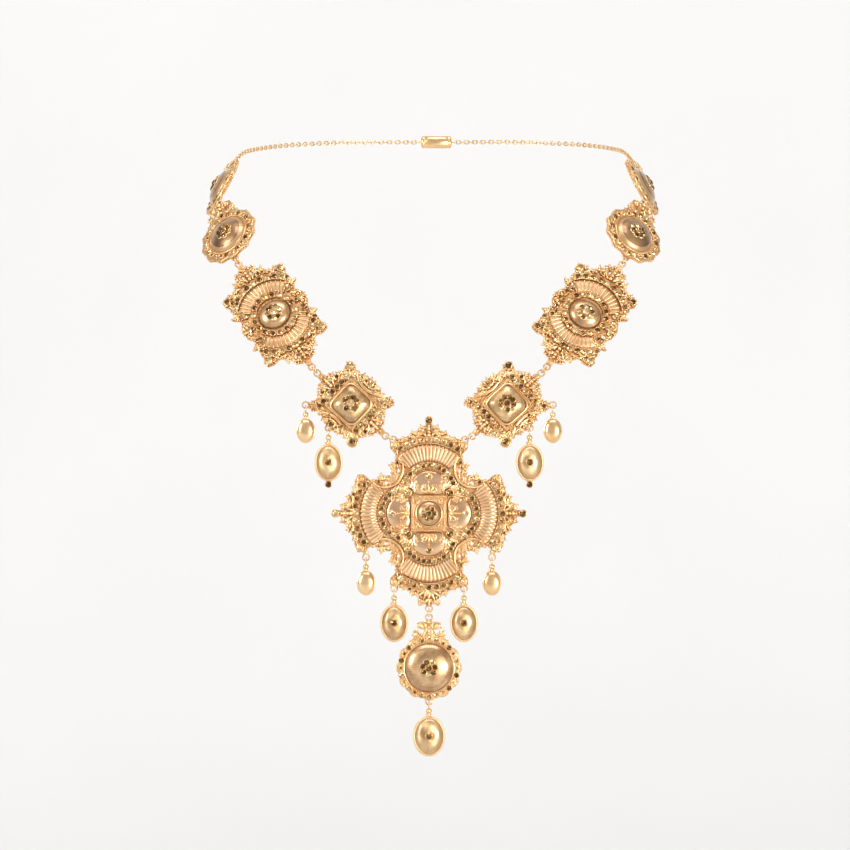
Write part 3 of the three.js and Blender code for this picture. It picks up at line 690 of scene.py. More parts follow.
def fringe(points, z=0.75, gap=0.95, leaf=1.2):
    """Leaf tips and beads along an edge, pointing to the right of the way it runs."""
    path = resampled(points, gap)
    out = angles_of(path) - 90
    step = np.arange(len(path))
    foot = on_circle(-FRINGE_INSET, out, *path.T)
    size = leaf * (1 + 0.22 * np.cos(2.1 * step))
    leaves = scatter(LEAF, columns(*foot, z, size, out + 26 * np.sin(1.9 * step)))
    return gather([leaves, scatter(BEAD, columns(*foot, z + 0.12, 0.36 + 0.1 * np.cos(3.3 * step), 0))])


def finial(y, tall):
    """A stack of mirrored curls on a beaded stem, upwards from y. It is drawn 6 tall and scaled."""
    k = tall / 6
    curls = both(
        scroll(0.9, y, 58, 5.6 * k, -20, -300, 0.42, 0.95, 0.6),
        volute(2.7 * k, y + 2.5 * k, 1.1 * k, 150, 0.3, 1.05),
        volute(5.0 * k, y + 1.2 * k, k, 200, 0.28, 0.85),
        vine(0.7, y + 0.3, 25, 5.6 * k, 35, 60, 1.4, 0.22, 0.75),
        vine(0.5, y + 2.2 * k, 66, 3.6 * k, -30, -120, 1.1, 0.2, 0.85),
    )
    step, size = np.array([(0.5, 0.72), (1.8, 0.6), (3.0, 0.7), (4.1, 0.5)]).T
    return gather([curls, scatter(BALL, columns(0, y + step * k, 1.25, size, 0))])


def eyelets(spots, z=0.0):
    """The round lips of eyelets at places x, y."""
    return scatter(torus(1.1, 0.25, 20, 6), columns(*np.array(spots, float).T, z, 1, 0))


# %% [markdown]
# ## The rib fans
# Each arm of the cross opens like a fan: a dark sunken ground with raised slats, and a
# beaded wire along each of its round edges.

# %% Fans
FAN_TOP = 1.14


def fan(y, inner, outer, half, ribs, rib):
    """A dished strip about (0, y), the straight slats on it, and its edges. The strip is a section
    of (share of the width, height) swept round an arc, and the slats are copies of one bar."""
    share, height = np.array([(0, -0.7), (0, 0), (0.5, -0.08), (1, 0), (1, -0.7)]).T
    angles = np.linspace(88 - half, 92 + half, 24)[:, None]
    strip = on_circle(inner - 0.2 + (outer - inner + 0.5) * share, angles, 0, y)
    wide = rib * np.array([0.55, 0.75, 0.86, 0.95, 1.0, 0.8])
    slat = wire(columns(np.linspace(inner, outer, 6), 0), wide, 0.28 * wide + 0.07, FAN_TOP + 0.06, 8)
    side = wire([[inner, 0], [outer + 0.4, 0]], 0.2, 0.3, FAN_TOP + 0.1)
    return (
        loft(columns(*strip, FAN_TOP + height)),
        scatter(slat, columns(0, y, 0, 1, np.linspace(90 - half, 90 + half, ribs))),
        gather([
            beading(arc_path(0, y, inner - 0.2, 87 - half, 93 + half, 60), 0.19, FAN_TOP + 0.2),
            beading(arc_path(0, y, outer + 0.35, 87 - half, 93 + half, 60), 0.25, FAN_TOP + 0.2),
            scatter(side, columns(0, y, 0, 1, [86.8 - half, 93.2 + half])),
        ]),
    )


# %% [markdown]
# ## The cross
# Four equal arms are turned about the plaque in the middle. Between each two arms runs a
# smooth concave band, with a web of leaves inside it. We draw one arm and one web pointing
# up and turn them. The edge is the casting's own, from the web up to the finial.

# %% An arm of the cross
ARM_FAN_Y = 7.6
ARM_BOW = 0.0135  # how fast the arm's top edge falls away, as a square of the distance
ARM_EDGE = [
    (11.9, 13.5), (11.6, 15.0), (13.5, 15.9), (11.4, 16.8), (11.0, 19.6), (12.6, 22.9),
    (8.6, 25.3), (6.3, 26.1), (5.7, 27.8), (4.2, 26.9), (3.0, 28.6), (1.2, 29.4),
]
ARM_GROUND, ARM_SLATS, ARM_RIMS = fan(ARM_FAN_Y, 9.7, 15.5, 40, 16, 0.5)
rim_x = np.linspace(-11.2, 11.2, 60)
rim_y = 25.6 - ARM_BOW * rim_x**2 + 0.28 * np.cos(2.2 * rim_x)
tip_x = np.linspace(-11, 11, 17)
tip_turn = 90 + 25 * np.sin(2.4 * np.arange(17)) - 1.6 * tip_x
ARM = gather([
    ARM_GROUND, ARM_RIMS, wire(columns(rim_x, rim_y), 0.22, 0.4, 0.9),
    scatter(LEAF, columns(tip_x, 25.1 - ARM_BOW * tip_x**2, 0.8, 1.5, tip_turn)),
    both(
        vine(2.4, 25.7, -2, 8.4, -16, -60, z=0.85), vine(9.4, 17.6, 86, 5.2, 10, 290),
        vine(10.5, 15.0, 84, 5.6, 14, 290, 1.15), volute(11.5, 22.7, 1.45, 200, 0.38, 0.85, turns=1.4),
        volute(11.7, 14.0, 0.9, 120, 0.26, 0.85), volute(10.9, 18.6, 0.75, 60, 0.24, 0.9, 1),
        c_scroll(8.2, 24.1, -20, 3.2, 40, 190, 0.26), c_scroll(10.6, 20.4, 84, 3.2, 40, 170, 0.24),
        spray(10.9, 15.9, 2, 3.0, 3, 34, 0.5, 0.7), spray(11.2, 22.6, 40, 2.0, 3, 40, 0.46, 0.9),
        fringe(ARM_EDGE), scatter(BEAD, row_on_arc(ARM_FAN_Y, 7.45, 58, 32, 12, 0.24, 1.25)),
    ),
])

# %% Webs, bands and the bottom finial
WEB = gather([
    both(
        vine(0.8, 10.6, 52, 5.2, 20, 240, 1.4, 0.28), c_scroll(3.3, 11.6, 62, 4.6, 50, 180, 0.32, 1.0),
        vine(1.6, 9.9, 12, 5.4, 60, 200), volute(1.7, 13.6, 0.85, 250, 0.26, 1.0, 1),
        volute(5.4, 12.6, 0.8, 200, 0.24, 1.0, 1),
    ),
    spray(0, 10.9, 90, 3.4, 5, 54, 0.6, 1.05), scatter(BALL, [0, 10.9, 1.3, 0.6, 0]),
])
swell = np.sin(np.linspace(0.15, 3.0, 30))
BETWEEN = wire(arc_path(14.9, 14.9, 6.3, 140, 310, 30), 0.22 + 0.26 * swell, 0.5, 1.0, 8)
ACANTHUS = gather([
    both(
        scroll(0.5, 28.6, 66, 4.2, -30, -290, 0.44, 0.95, 0.6), volute(3.1, 29.9, 1.0, 200, 0.28),
        vine(1.0, 25.6, 28, 5.6, 30, 60, 1.4, 0.24, 0.8), volute(5.4, 26.6, 0.9, 200, 0.26, 0.9),
    ),
    spray(0, 25.2, 90, 5.0, 7, 76, 0.8, 0.85), blade(0, 27.8, 90, 3.8, 0, 0.75, 1.0),
])


# %% Lobes
LOBE_ROWS = [
    (0.96, 0.8), (1.0, 0.85), (1.0, 1.05), (0.97, 1.2), (0.88, 1.38), (0.7, 1.55), (0.45, 1.67), (0.2, 1.72),
]
LOBE_FOOT = [[-5.4, 8.2], [-4.2, 6.3], [0, 6.3], [4.2, 6.3], [5.4, 8.2]]


def softened(points, rounds=2):
    """Cuts every corner of a closed outline at a quarter and three quarters, again and again."""
    for _ in range(rounds):
        after = np.roll(points, -1, axis=0)
        points = np.stack([0.75 * points + 0.25 * after, 0.25 * points + 0.75 * after], 1).reshape(-1, 2)
    return points


def lobe_trim(leaves):
    """What sits on a lobe: a beaded edge, a fleuron by the plaque, tendrils beside the stone."""
    return gather([
        both(
            c_scroll(2.4, 8.3, 110, 2.8, 40, 190, 0.26, 1.7, 0.34), vine(0.6, 7.0, 22, 5.0, 50, 240, z=1.5),
            c_scroll(5.0, 9.6, 92, 4.2, 50, 190, 0.34, 1.5), spray(5.7, 8.4, 78, 3.6, 4, 34, 0.55, 1.3),
            vine(4.6, 6.9, 62, 5.0, 40, 290, 1.3, 0.26, 1.45),
            vine(5.9, 11.2, 108, 3.4, 30, 240, 1.1, 0.22, 1.25),
        ),
        beading(arc_path(0, ARM_FAN_Y, 7.0, 8, 172, 60), 0.19, 1.05),
        spray(0, 6.9, 90, 3.4, leaves, 74, 0.6, 1.65),
        scatter(BALL, [[0, 7.5, 1.9, 0.75, 0], [0, 10.5, 1.75, 0.36, 0]]),
    ])


LOBE_OUTLINE = softened(np.concatenate([arc_path(0, ARM_FAN_Y, 6.6, 16, 164, 14), LOBE_FOOT]))
LOBE = pillow(LOBE_OUTLINE, LOBE_ROWS, (0, 11))


# %% Stones and relief of the cross
def square_path(half):
    """Points along a square."""
    return resampled([[-half, -half], [half, -half], [half, half], [-half, half]], 0.5, True)


arm_gems = np.concatenate([
    row_on_arc(ARM_FAN_Y, 8.5, 90, 72, 13, 0.82, 1.3), row_on_arc(ARM_FAN_Y, 17.1, 90, 34, 9, 0.92, 1.25),
    [[0, 12.4, 1.8, 1.0, 0], [10.6, 17.0, 1.2, 0.6, 12], [-10.6, 17.0, 1.2, 0.6, 60]],
    [[6.4, 25.2, 1.1, 0.55, 5], [-6.4, 25.2, 1.1, 0.55, 45]],
])
cross_gems = np.concatenate([
    turned_spots(arm_gems), turned_spots(both_spots([[3.0, 14.0, 1.25, 0.62, 10]]), (-45, 45, 135, 225)),
    both_spots([[7.1, 6.8, 1.45, 1.2, 5], [7.1, -6.8, 1.45, 1.2, 40]]),
    [[0, 31.2, 1.3, 1.15, 0], [31.4, 0, 1.3, 1.15, 20], [-31.4, 0, 1.3, 1.15, 50]],
])
cross_flower = flower_spots(1.75, 7, 3.7, 0.88)
CROSS_EYES = {
    "corner_right": (-12.0, 24.7), "corner_left": (12.0, 24.7), "tip": (0, -31.9),
    "small_right": (-21.1, -14.7), "small_left": (21.1, -14.7),
    "large_right": (-11.7, -25.2), "large_left": (11.7, -25.2),
}
cross_relief = gather([
    turned(ARM), turned(WEB, (-45, 45, 135, 225)), turned(BETWEEN),
    turned(lobe_trim(5), (0, 90, 270)), turned(lobe_trim(7), 180),
    turned(finial(25.7, 5.2), (0, 90, 270)), turned(ACANTHUS, 180),
    beading(square_path(5.7), 0.24, 1.62, True), beading(square_path(4.95), 0.16, 1.62, True),
    wire(square_path(5.33), 0.16, 0.2, 1.6, closed=True), lifted(torus(4.35, 0.28, 36, 6), 1.8),
    turned(spray(3.3, 3.3, 45, 1.9, 3, 40, 0.3, 1.65)),
    scatter(COLLET, cross_gems), scatter(COLLET, cross_flower),
    eyelets([*CROSS_EYES.values()], EYE_HEIGHT["cross"]),
])
CROSS_SPANS = (4.1, 4.1)
CROSS_DOME = dome_shape(*CROSS_SPANS, 1.9, 1.7)
piece("cross_relief", cross_relief, ANTIQUE_GOLD, "cross", cross_place)
piece("cross_slats", turned(ARM_SLATS), SHELL_GOLD, "cross", cross_place)
set_flower("cross", cross_gems, cross_flower, "cross", cross_place)
for side, degrees in zip(("top", "right", "bottom", "left"), QUARTERS):
    lobe = turned(LOBE, degrees)
    piece(f"lobe_{side}", lobe, ROSE_GOLD, "cross", cross_place, [f"cross_lobe_{side}"])
glass("cross_glass", CROSS_DOME, CROSS_SPANS, PALE_FOIL, "cross", cross_place, ["cross_dome"])
print("stones on the cross:", len(cross_gems) + len(cross_flower))

# %% [markdown]
# ## Round castings
# The medallion under the cross and the four castings at the sides of the neck are of one
# kind: clumps of leaves and stones round a scalloped ring, a glass dome, and a bail of two
# curls that meet under the eyelet. Those at the neck have a smaller glass, and the wider rim
# round it carries a second ring of clumps.

# %% Bail and clumps
BAIL_EDGE = [(6.2, 8.9), (5.2, 9.6), (5.0, 12.2), (2.5, 11.2)]
BAIL = gather([
    both(
        wire([[2.6, 9.8], [1.5, 11.2], [0.8, 12.6], [0.7, 14.6]], 0.34, 0.45, 0.95),
        volute(2.5, 14.0, 1.45, 215, 0.42, turns=1.25), scatter(BALL, [2.65, 14.05, 1.0, 0.85, 0]),
        vine(2.2, 10.0, 30, 5.2, 40, 90, 1.5, 0.26), spray(4.4, 10.6, 62, 2.2, 3, 40, 0.46),
        fringe(BAIL_EDGE, 0.7, 1.0, 1.0),
    ),
    scatter(BALL, [[0, 15.3, 1.1, 0.8, 0], [0, 13.4, 1.2, 0.6, 0], [0, 11.4, 1.1, 0.55, 0]]),
    eyelets([[0, ROUND_EYE["top"]]], EYE_HEIGHT["round"]),
])
RIM_CREST = 10.6
WIDE_DOME = 8.4
NARROW_DOME = 7.2
CLUMPS = 12
CLUMP = gather([
    scatter(LEAF, columns(-1.0, 0, 0.1, [2.1, 1.75, 1.75], [0.0, 44.0, -44.0])),
    scatter(DROOP, columns(-0.3, [0, 0.75, -0.75], -0.1, 1.35, [0.0, 24.0, -24.0])),
    scatter(BEAD, [[-0.55, 0, 0.35, 0.48, 0], [-0.35, 0.85, 0.1, 0.36, 0], [-0.35, -0.85, 0.1, 0.36, 0]]),
])
STEP = 360 / CLUMPS
crest_at = 90 + STEP * np.array([step for step in range(CLUMPS) if step % (CLUMPS // 2)])
notch_at = 90 + STEP * (np.arange(CLUMPS) + 0.5)


# %% Round castings
def round_the_rim(radius, degrees, z, size, turn):
    """Spots on a circle, at angles in degrees."""
    return columns(*on_circle(radius, degrees), z, size, turn)


def scalloped(crest, notch):
    """A closed path that swings between a crest and a notch at each clump."""
    turn = np.linspace(0, 360, 132, endpoint=False)
    reach = (crest + notch) / 2 + (crest - notch) / 2 * np.cos(np.radians(CLUMPS * turn))
    return columns(*on_circle(reach, turn))


def rim_relief(dome, wall):
    """The rim outside a dome: bezel, beads, clumps and beads down its wall; and the spots of its stones."""
    middle = (dome + RIM_CREST) / 2
    shapes = [
        wire(scalloped(RIM_CREST, 10.0), 0.24, 0.3, 0.75, closed=True),
        lifted(torus(dome + 0.04, 0.34, 60), 0.85),
        beading(scalloped(wall, 9.95), 0.4, -0.1, True), beading(scalloped(wall, 9.95), 0.36, 0.55, True),
        beading(oval_path(dome + 0.62, dome + 0.62, 120), 0.26, 1.12, True),
        scatter(CLUMP, round_the_rim(10.0, crest_at, 0.55, 0.92, crest_at)),
    ]
    for way in (-1, 1):
        shapes.append(scatter(LEAF, round_the_rim(9.6, notch_at + 7 * way, 0.75, 1.3, notch_at + 50 * way)))
        shapes.append(scatter(BEAD, round_the_rim(middle - 0.1, notch_at + 10 * way, 1.0, 0.4, 0)))
    gems = np.concatenate([
        round_the_rim(middle, notch_at, 0.86, 0.92, 31.0 * np.arange(CLUMPS)),
        round_the_rim(middle - 0.15, crest_at, 0.95, 0.58, 17.0 * crest_at),
        [[0, 9.75, 0.95, 0.85, 0], [0, -9.75, 0.95, 0.85, 20]],
    ])
    if dome < WIDE_DOME:
        inner = np.concatenate([crest_at + 5, crest_at - 5])
        shapes += [
            scatter(CLUMP, round_the_rim(dome + 1.9, crest_at, 0.8, 0.8, crest_at + 180)),
            scatter(BALL, round_the_rim(dome + 1.35, inner, 1.0, 0.42, 0)),
            scatter(CLUMP, round_the_rim(9.95, notch_at, 0.4, 0.74, notch_at)),
        ]
    return gather([*shapes, scatter(COLLET, gems)]), gems


def round_casting(name, body, matrix, foil, eye_height, dome, rise, wall):
    """One round casting: its rim and bail, its stones, and a dome just inside the bezel."""
    rim, gems = rim_relief(dome, wall)
    flower = flower_spots(2.05, 7, 0.8 + rise, 1.0, 8)
    relief = gather([rim, BAIL, scatter(COLLET, flower), eyelets([[0, -ROUND_EYE["bottom"]]], eye_height)])
    spans = (dome - 0.1, dome - 0.1)
    casting(name, body, matrix, relief, gems, flower, dome_shape(*spans, 0.8, rise, 64), spans, foil)


round_casting("medallion", "medallion", medallion_place, PALE_FOIL, EYE_HEIGHT["round"],
              WIDE_DOME, rise=3.0, wall=10.75)
for side in SIDES:
    for kind, wall in (("round_front", 10.75), ("round_back", 10.4)):
        round_casting(f"{side}_{kind}", "necklace", places[side, kind], DARK_FOIL, 0, NARROW_DOME, 2.8, wall)

# %% [markdown]
# ## Panels
# A panel is two rib fans back to back about an oval stone in a ring of small stones, with
# scrolls down its long sides and a stone on each corner. We draw a quarter of its edge, from
# the middle of the long side to the end eyelet.

# %% Panels
PANEL_EDGE = [
    (12.2, 0.4), (10.6, 3.4), (10.6, 4.9), (12.9, 6.7), (10.8, 7.8), (11.4, 9.8), (10.8, 11.2), (12.3, 13.2),
    (9.8, 15.0), (7.4, 14.6), (6.1, 15.2), (5.7, 17.6), (4.1, 16.6), (3.6, 19.2), (1.2, 20.6),
]
floret = gather([
    scatter(LEAF, columns(0, 0, -0.1, 1.15, np.arange(5) * 72.0)), scatter(BEAD, [0, 0, 0.15, 0.42, 0]),
])
PANEL_GROUND, PANEL_SLATS, PANEL_RIMS = fan(0, 7.9, 12.4, 50, 14, 0.22)
panel_end = gather([
    PANEL_SLATS, PANEL_RIMS, finial(15.2, 6.2), eyelets([[0, END["panel"]]]),
    both(
        volute(10.6, 1.5, 1.3, 180, 0.34, 0.85, turns=1.3), vine(8.9, 2.0, 62, 4.4, -10, -290),
        vine(9.0, 5.0, 88, 5.0, -10, -290), c_scroll(9.8, 8.4, 80, 4.0, 40, 180, 0.3),
        spray(10.3, 6.6, 5, 2.6, 3, 34, 0.5, 0.8), volute(10.2, 10.7, 0.95, 180, 0.28),
        vine(4.6, 14.9, -4, 6.0, 10, -280, 1.3, 0.26, 0.9), c_scroll(7.4, 13.4, 165, 3.6, 40, 180, 0.28, 1.0),
        vine(2.0, 15.0, 20, 4.2, 40, 160, 1.3), spray(10.8, 13.0, 38, 2.2, 5, 66, 0.46, 0.85),
        fringe(PANEL_EDGE), scatter(floret, [8.7, 14.2, 1.0, 0.8, 20]),
    ),
])
end_gems = np.concatenate([
    row_on_arc(0, 13.75, 90, 44, 9, 0.92, 1.25), row_on_arc(0, 13.5, 90, 38.5, 8, 0.6, 1.3),
    both_spots([[10.7, 13.2, 1.05, 1.05, 0], [9.6, 3.2, 1.15, 0.78, 30], [9.1, 6.6, 1.15, 0.78, 10]]),
    both_spots([
        [10.8, 8.9, 1.1, 0.7, 10], [9.4, 11.7, 1.15, 0.72, 50],
        [3.4, 15.9, 1.1, 0.66, 50], [8.6, 4.9, 1.2, 0.6, 0],
    ]),
])
PANEL_GEMS = np.concatenate([
    turned_spots(end_gems, (0, 180)), row_on_arc(0, 7.1, 0, 180 - 180 / 17, 17, 0.9, 1.35),
    both_spots([[10.4, 0, 1.1, 0.85, 0], [8.9, 0, 1.2, 0.6, 0]]),
])
PANEL_FLOWER = flower_spots(2.15, 9, 3.1, 0.88)
PANEL_RELIEF = gather([
    turned(panel_end, (0, 180)), beading(oval_path(6.25, 6.25, 90), 0.24, 1.1, True),
    scatter(COLLET, PANEL_GEMS), scatter(COLLET, PANEL_FLOWER),
])
PANEL_SPANS = (5.7, 5.0)
PANEL_DOME = dome_shape(*PANEL_SPANS, 0.8, 2.4)
for side in SIDES:
    casting(f"{side}_panel", "necklace", places[side, "panel"], PANEL_RELIEF, PANEL_GEMS, PANEL_FLOWER,
            PANEL_DOME, PANEL_SPANS, PALE_FOIL, 0.5, turned(PANEL_GROUND, (0, 180)))

# %% [markdown]
# ## Lozenges
# A lozenge is a soft square cushion of glass in a double frame. Two of its sides carry rows
# of stones, and the other two a smooth concave band with a floret outside it. It is drawn
# for the wearer's left, and mirrored for the right.

# %% Lozenge relief
LOZENGE_EDGE = [
    (10.9, 0.8), (10.2, 3.7), (8.6, 6.0), (10.9, 9.1), (8.6, 10.6),
    (5.8, 8.9), (4.7, 10.9), (3.5, 9.8), (3.5, 11.6), (1.2, 13.0),
]


def soft_square(half, count=64):
    """A square with round corners: |x|^5 + |y|^5 = half^5."""
    x, y = oval_path(1, 1, count).T
    reach = half / (np.abs(x) ** 5 + np.abs(y) ** 5) ** 0.2
    return columns(reach * x, reach * y)


side_swell = np.sin(np.linspace(0.2, 2.95, 26))
side_half = gather([
    vine(8.2, 1.0, 66, 4.4, -10, -290, z=0.9), c_scroll(8.7, 4.4, 70, 3.6, 50, 180, 0.28, 0.9),
    volute(9.9, 2.4, 0.95, 200, 0.26, 0.85), vine(7.4, 5.0, 60, 4.4, 20, 150, z=0.9),
])
plain_sides = both(
    wire(arc_path(15.2, 0, 8.2, 137, 223, 26), 0.26 + 0.36 * side_swell, 0.5, 1.0, 8),
    side_half, mirrored(side_half, (1, -1, 1)), spray(8.0, 0, 0, 2.8, 5, 66, 0.52),
)
corner = gather([
    both(
        vine(0.7, 9.2, 50, 3.8, 10, 150, z=0.9), volute(2.6, 10.6, 0.95, 200, 0.26, 0.9),
        c_scroll(3.4, 9.0, 140, 3.4, 50, 180, 0.26),
    ),
    spray(0, 9.6, 90, 2.8, 5, 66, 0.5, 0.85),
])
lozenge_end = gather([
    finial(8.9, 4.8), wire([[-6.0, 8.5], [-3, 8.7], [0, 8.8], [3, 8.7], [6.0, 8.5]], 0.2, 0.34, 0.85),
    both(
        vine(2.4, 8.2, 0, 5.2, 15, 130, z=0.9), c_scroll(4.9, 8.9, 5, 3.4, 50, 180, 0.26),
        fringe(LOZENGE_EDGE, 0.75, 1.0, 1.25),
    ),
])

# %% Lozenges
side_row = columns(np.linspace(-5.6, 5.6, 6), 7.45, 1.25, 0.92, 20 * np.linspace(-5.6, 5.6, 6))
LOZENGE_GEMS = np.concatenate([
    turned_spots(side_row, (0, 180)),
    [[9.6, 0.1, 1.2, 0.95, 0], [-9.4, 0, 1.2, 0.95, 0], [-9.3, 9.3, 1.25, 1.15, 0]],
    [[9.0, -9.0, 1.15, 1.1, 20], [7.7, 7.3, 1.2, 0.82, 0], [8.9, 8.6, 1.0, 0.78, 30]],
    [[-7.5, -7.3, 1.2, 0.82, 0], [-8.8, -8.6, 1.05, 0.72, 10]],
    both_spots([
        [3.6, 9.9, 1.1, 0.7, 0], [3.6, -9.9, 1.1, 0.7, 0],
        [7.7, 2.9, 1.15, 0.6, 0], [7.7, -2.9, 1.15, 0.6, 7],
    ]),
])
LOZENGE_FLOWER = flower_spots(2.2, 9, 3.25, 0.95)
SMALL_EYE = (10.5, 11.2)
LARGE_EYE = (11.0, 0.2)
LOZENGE_RELIEF = gather([
    turned(lozenge_end, (0, 180)), plain_sides, turned(corner, (-45, 45, 135, 225)),
    wire([[-6.6, 6.6], [-7.6, 7.7], [-8.6, 8.7]], 0.55, 0.55, 1.1, 8),
    scatter(torus(1.7, 0.34, 24, 6), [9.0, -9.0, 0.9, 1, 0]),
    beading(square_path(6.15), 0.22, 1.15, True), wire(soft_square(5.6), 0.42, 0.4, 1.0, closed=True),
    scatter(COLLET, LOZENGE_GEMS), scatter(COLLET, LOZENGE_FLOWER),
    eyelets([(0, END["lozenge"]), (0, -END["lozenge"]), SMALL_EYE, LARGE_EYE]),
])
CUSHION_ROWS = [
    (0.97, 0.8), (1.0, 0.85), (1.0, 1.1), (0.93, 1.6), (0.8, 2.2), (0.62, 2.7), (0.4, 3.0), (0.15, 3.15),
]
LOZENGE_DOME = pillow(soft_square(5.3), CUSHION_ROWS)
for side, hand in SIDES.items():
    relief = LOZENGE_RELIEF if hand > 0 else mirrored(LOZENGE_RELIEF)
    gems, flower = (spots * [hand, 1, 1, 1, 1] for spots in (LOZENGE_GEMS, LOZENGE_FLOWER))
    casting(f"{side}_lozenge", "necklace", places[side, "lozenge"], relief, gems, flower, LOZENGE_DOME,
            (6.2, 6.2), AMBER_FOIL)

# %% [markdown]
# ## Drops
# Each drop hangs from an eyelet by a jump ring, a ball and a short leafy neck. The small
# ones are plain gold ovals with a thin rim. The large ones are toothed cups that hold foiled
# glass, with one stone in the middle.

# %% Drops
DROPS = {"small": (3.15, 4.15, 0.4), "large": (4.75, 6.4, 1.1), "terminal": (5.5, 6.85, 0.7)}
BALL_RADIUS = 1.05
CUP_WALL = 0.72
RIM_TEETH = 52
CUP_ROWS = [(0.75, -0.6), (0.93, -0.55), (1.0, -0.3), (1.0, 0.35), (0.96, 0.6), (0.9, 0.68), (0.87, 0.4)]
OVAL_ROWS = [
    (0.6, -0.5), (0.93, -0.48), (1.0, -0.25), (1.0, 0.05), (0.96, 0.2), (0.9, 0.2), (0.86, 0.42), (0.74, 0.8),
    (0.54, 1.08), (0.3, 1.22), (0.1, 1.27),
]


def hanger(high, neck, eye):
    """Neck, ball and ring above a drop, and the matrix that hangs the drop's middle below its eyelet."""
    top = high + neck + BALL_RADIUS - 0.15
    ring_middle = top + RING["radius"] + 0.45
    ring = torus(RING["radius"], RING["wire"])
    on_edge = ring[0][:, [2, 1, 0]] * [1, 1, -1] + [0, ring_middle, 0], ring[1]
    ball = scatter(BALL, [0, top, 0, BALL_RADIUS * 0.95, 0])
    collar = wire([[0, high - 0.5], [0, high + 0.1], [0, top - 0.5]], [1.0, 0.7, 0.45], [0.45, 0.4, 0.35])
    leaves = spray(0, high - 0.3, 90, neck + 1.2, 3, 46, 0.42, 0.3)
    matrix = standing(eye - [0, 0, ring_middle + RING_REACH], *FORWARD)
    return gather([ball, collar, leaves, on_edge]), matrix


def large_drop(name, kind, eye, body, node, tip=False):
    """A toothed cup whose outline swells by a cosine for each tooth, its glass, and its stones."""
    wide, high, neck = DROPS[kind]
    top, matrix = hanger(high, neck, eye)
    turn = np.linspace(0, 2 * np.pi, 4 * RIM_TEETH, endpoint=False)
    reach = 0.975 + 0.025 * np.cos(RIM_TEETH * turn)
    cup = pillow(columns(wide * reach * np.cos(turn), high * reach * np.sin(turn)), CUP_ROWS)
    gems = [[0, 0.2, 2.25, 1.1, 0]] + ([[0, -high - 0.85, 0.45, 1.05, 0]] if tip else [])
    cup = gather([top, cup, scatter(COLLET, gems)])
    piece(f"{name}_cup", cup, ANTIQUE_GOLD, body, matrix, [f"{node}_setting"])
    spans = (wide - CUP_WALL, high - CUP_WALL)
    dome = dome_shape(*spans, 0.35, 1.95)
    glass(f"{name}_glass", dome, spans, YELLOW_FOIL, body, matrix, [f"{node}_stone"])
    set_stones(f"{name}_stones", gems, body, matrix)


def small_drop(name, eye, body, node, material=POLISHED_GOLD, slot="polished_gold"):
    """A smooth gold oval with a thin rim."""
    wide, high, neck = DROPS["small"]
    top, matrix = hanger(high, neck, eye)
    oval = pillow(oval_path(wide, high, 40), OVAL_ROWS)
    piece(name, gather([top, oval]), material, body, matrix, [node])


for side, hand in SIDES.items():
    small_eye, large_eye = (
        placed(cross_place, *CROSS_EYES[f"{kind}_{side}"], EYE_HEIGHT["cross"]) for kind in ("small", "large")
    )
    finish = (ANTIQUE_GOLD, "antique_gold") if hand > 0 else (POLISHED_GOLD, "polished_gold")
    small_drop(f"cross_small_{side}", small_eye, "cross", f"cross_small_drop_{side}", *finish)
    large_drop(f"cross_large_{side}", "large", large_eye, "cross", f"cross_large_drop_{side}")
    small_eye, large_eye = (placed(places[side, "lozenge"], x * hand, y) for x, y in (SMALL_EYE, LARGE_EYE))
    small_drop(f"{side}_small", small_eye, "necklace", f"{side}_small_drop")
    large_drop(f"{side}_large", "large", large_eye, "necklace", f"{side}_large_drop", True)
terminal_eye = placed(medallion_place, 0, -ROUND_EYE["bottom"], EYE_HEIGHT["round"])
large_drop("terminal", "terminal", terminal_eye, "medallion", "terminal_drop")

# %% [markdown]
# ## Jump rings, chain and clasp
# Round wire rings join the castings. Behind the neck runs a fine cable chain: each link is
# an oval of wire, turned a quarter from the one before, and the links follow the route of
# the CAD model's tube, which is a smooth curve through a few named bends.

# %% Jump rings
JUMP_RING = torus(RING["radius"], RING["wire"])
for name, node, start, stop, face, body in links:
    matrix = standing((start + stop) / 2, stop - start, np.cross(stop - start, face))
    piece(name, JUMP_RING, POLISHED_GOLD, body, matrix, [node])


# %% Chain route
NAPE_ROUTE = [
    (-67.5, -47.0, -6.8), (-63.0, -33.0, -4.4), (-53.5, -18.0, -2.2), (-38.0, -6.2, -0.7), (-20.0, -0.2, 0.0),
]
CLASP = {"length": 11.0, "height": 4.4, "depth": 2.6}
CLASP_END = (-(CLASP["length"] / 2 + 0.3), CLASP["depth"] / 2, 0)
LINK_PITCH = 1.5
LINK_WIRE = 0.22


def smooth_route(bends):
    """A centripetal Catmull-Rom curve: Hermite pieces whose knots lie a root of the distance apart."""
    bends = np.concatenate([[2 * bends[0] - bends[1]], bends, [2 * bends[-1] - bends[-2]]])
    gap = np.linalg.norm(np.diff(bends, axis=0), axis=1) ** 0.5
    t = np.linspace(0, 1, 60, endpoint=False)[:, None]
    runs = []
    for i in range(1, len(bends) - 2):
        a, b, c, d = bends[i - 1 : i + 3]
        before, here, after = gap[i - 1 : i + 2]
        leave = ((b - a) / before - (c - a) / (before + here) + (c - b) / here) * here
        arrive = ((c - b) / here - (d - b) / (here + after) + (d - c) / after) * here
        ends = (2 * t**3 - 3 * t**2 + 1) * b + (3 * t**2 - 2 * t**3) * c
        runs.append(ends + (t**3 - 2 * t**2 + t) * leave + (t**3 - t**2) * arrive)
    return np.concatenate([*runs, bends[-2:-1]])


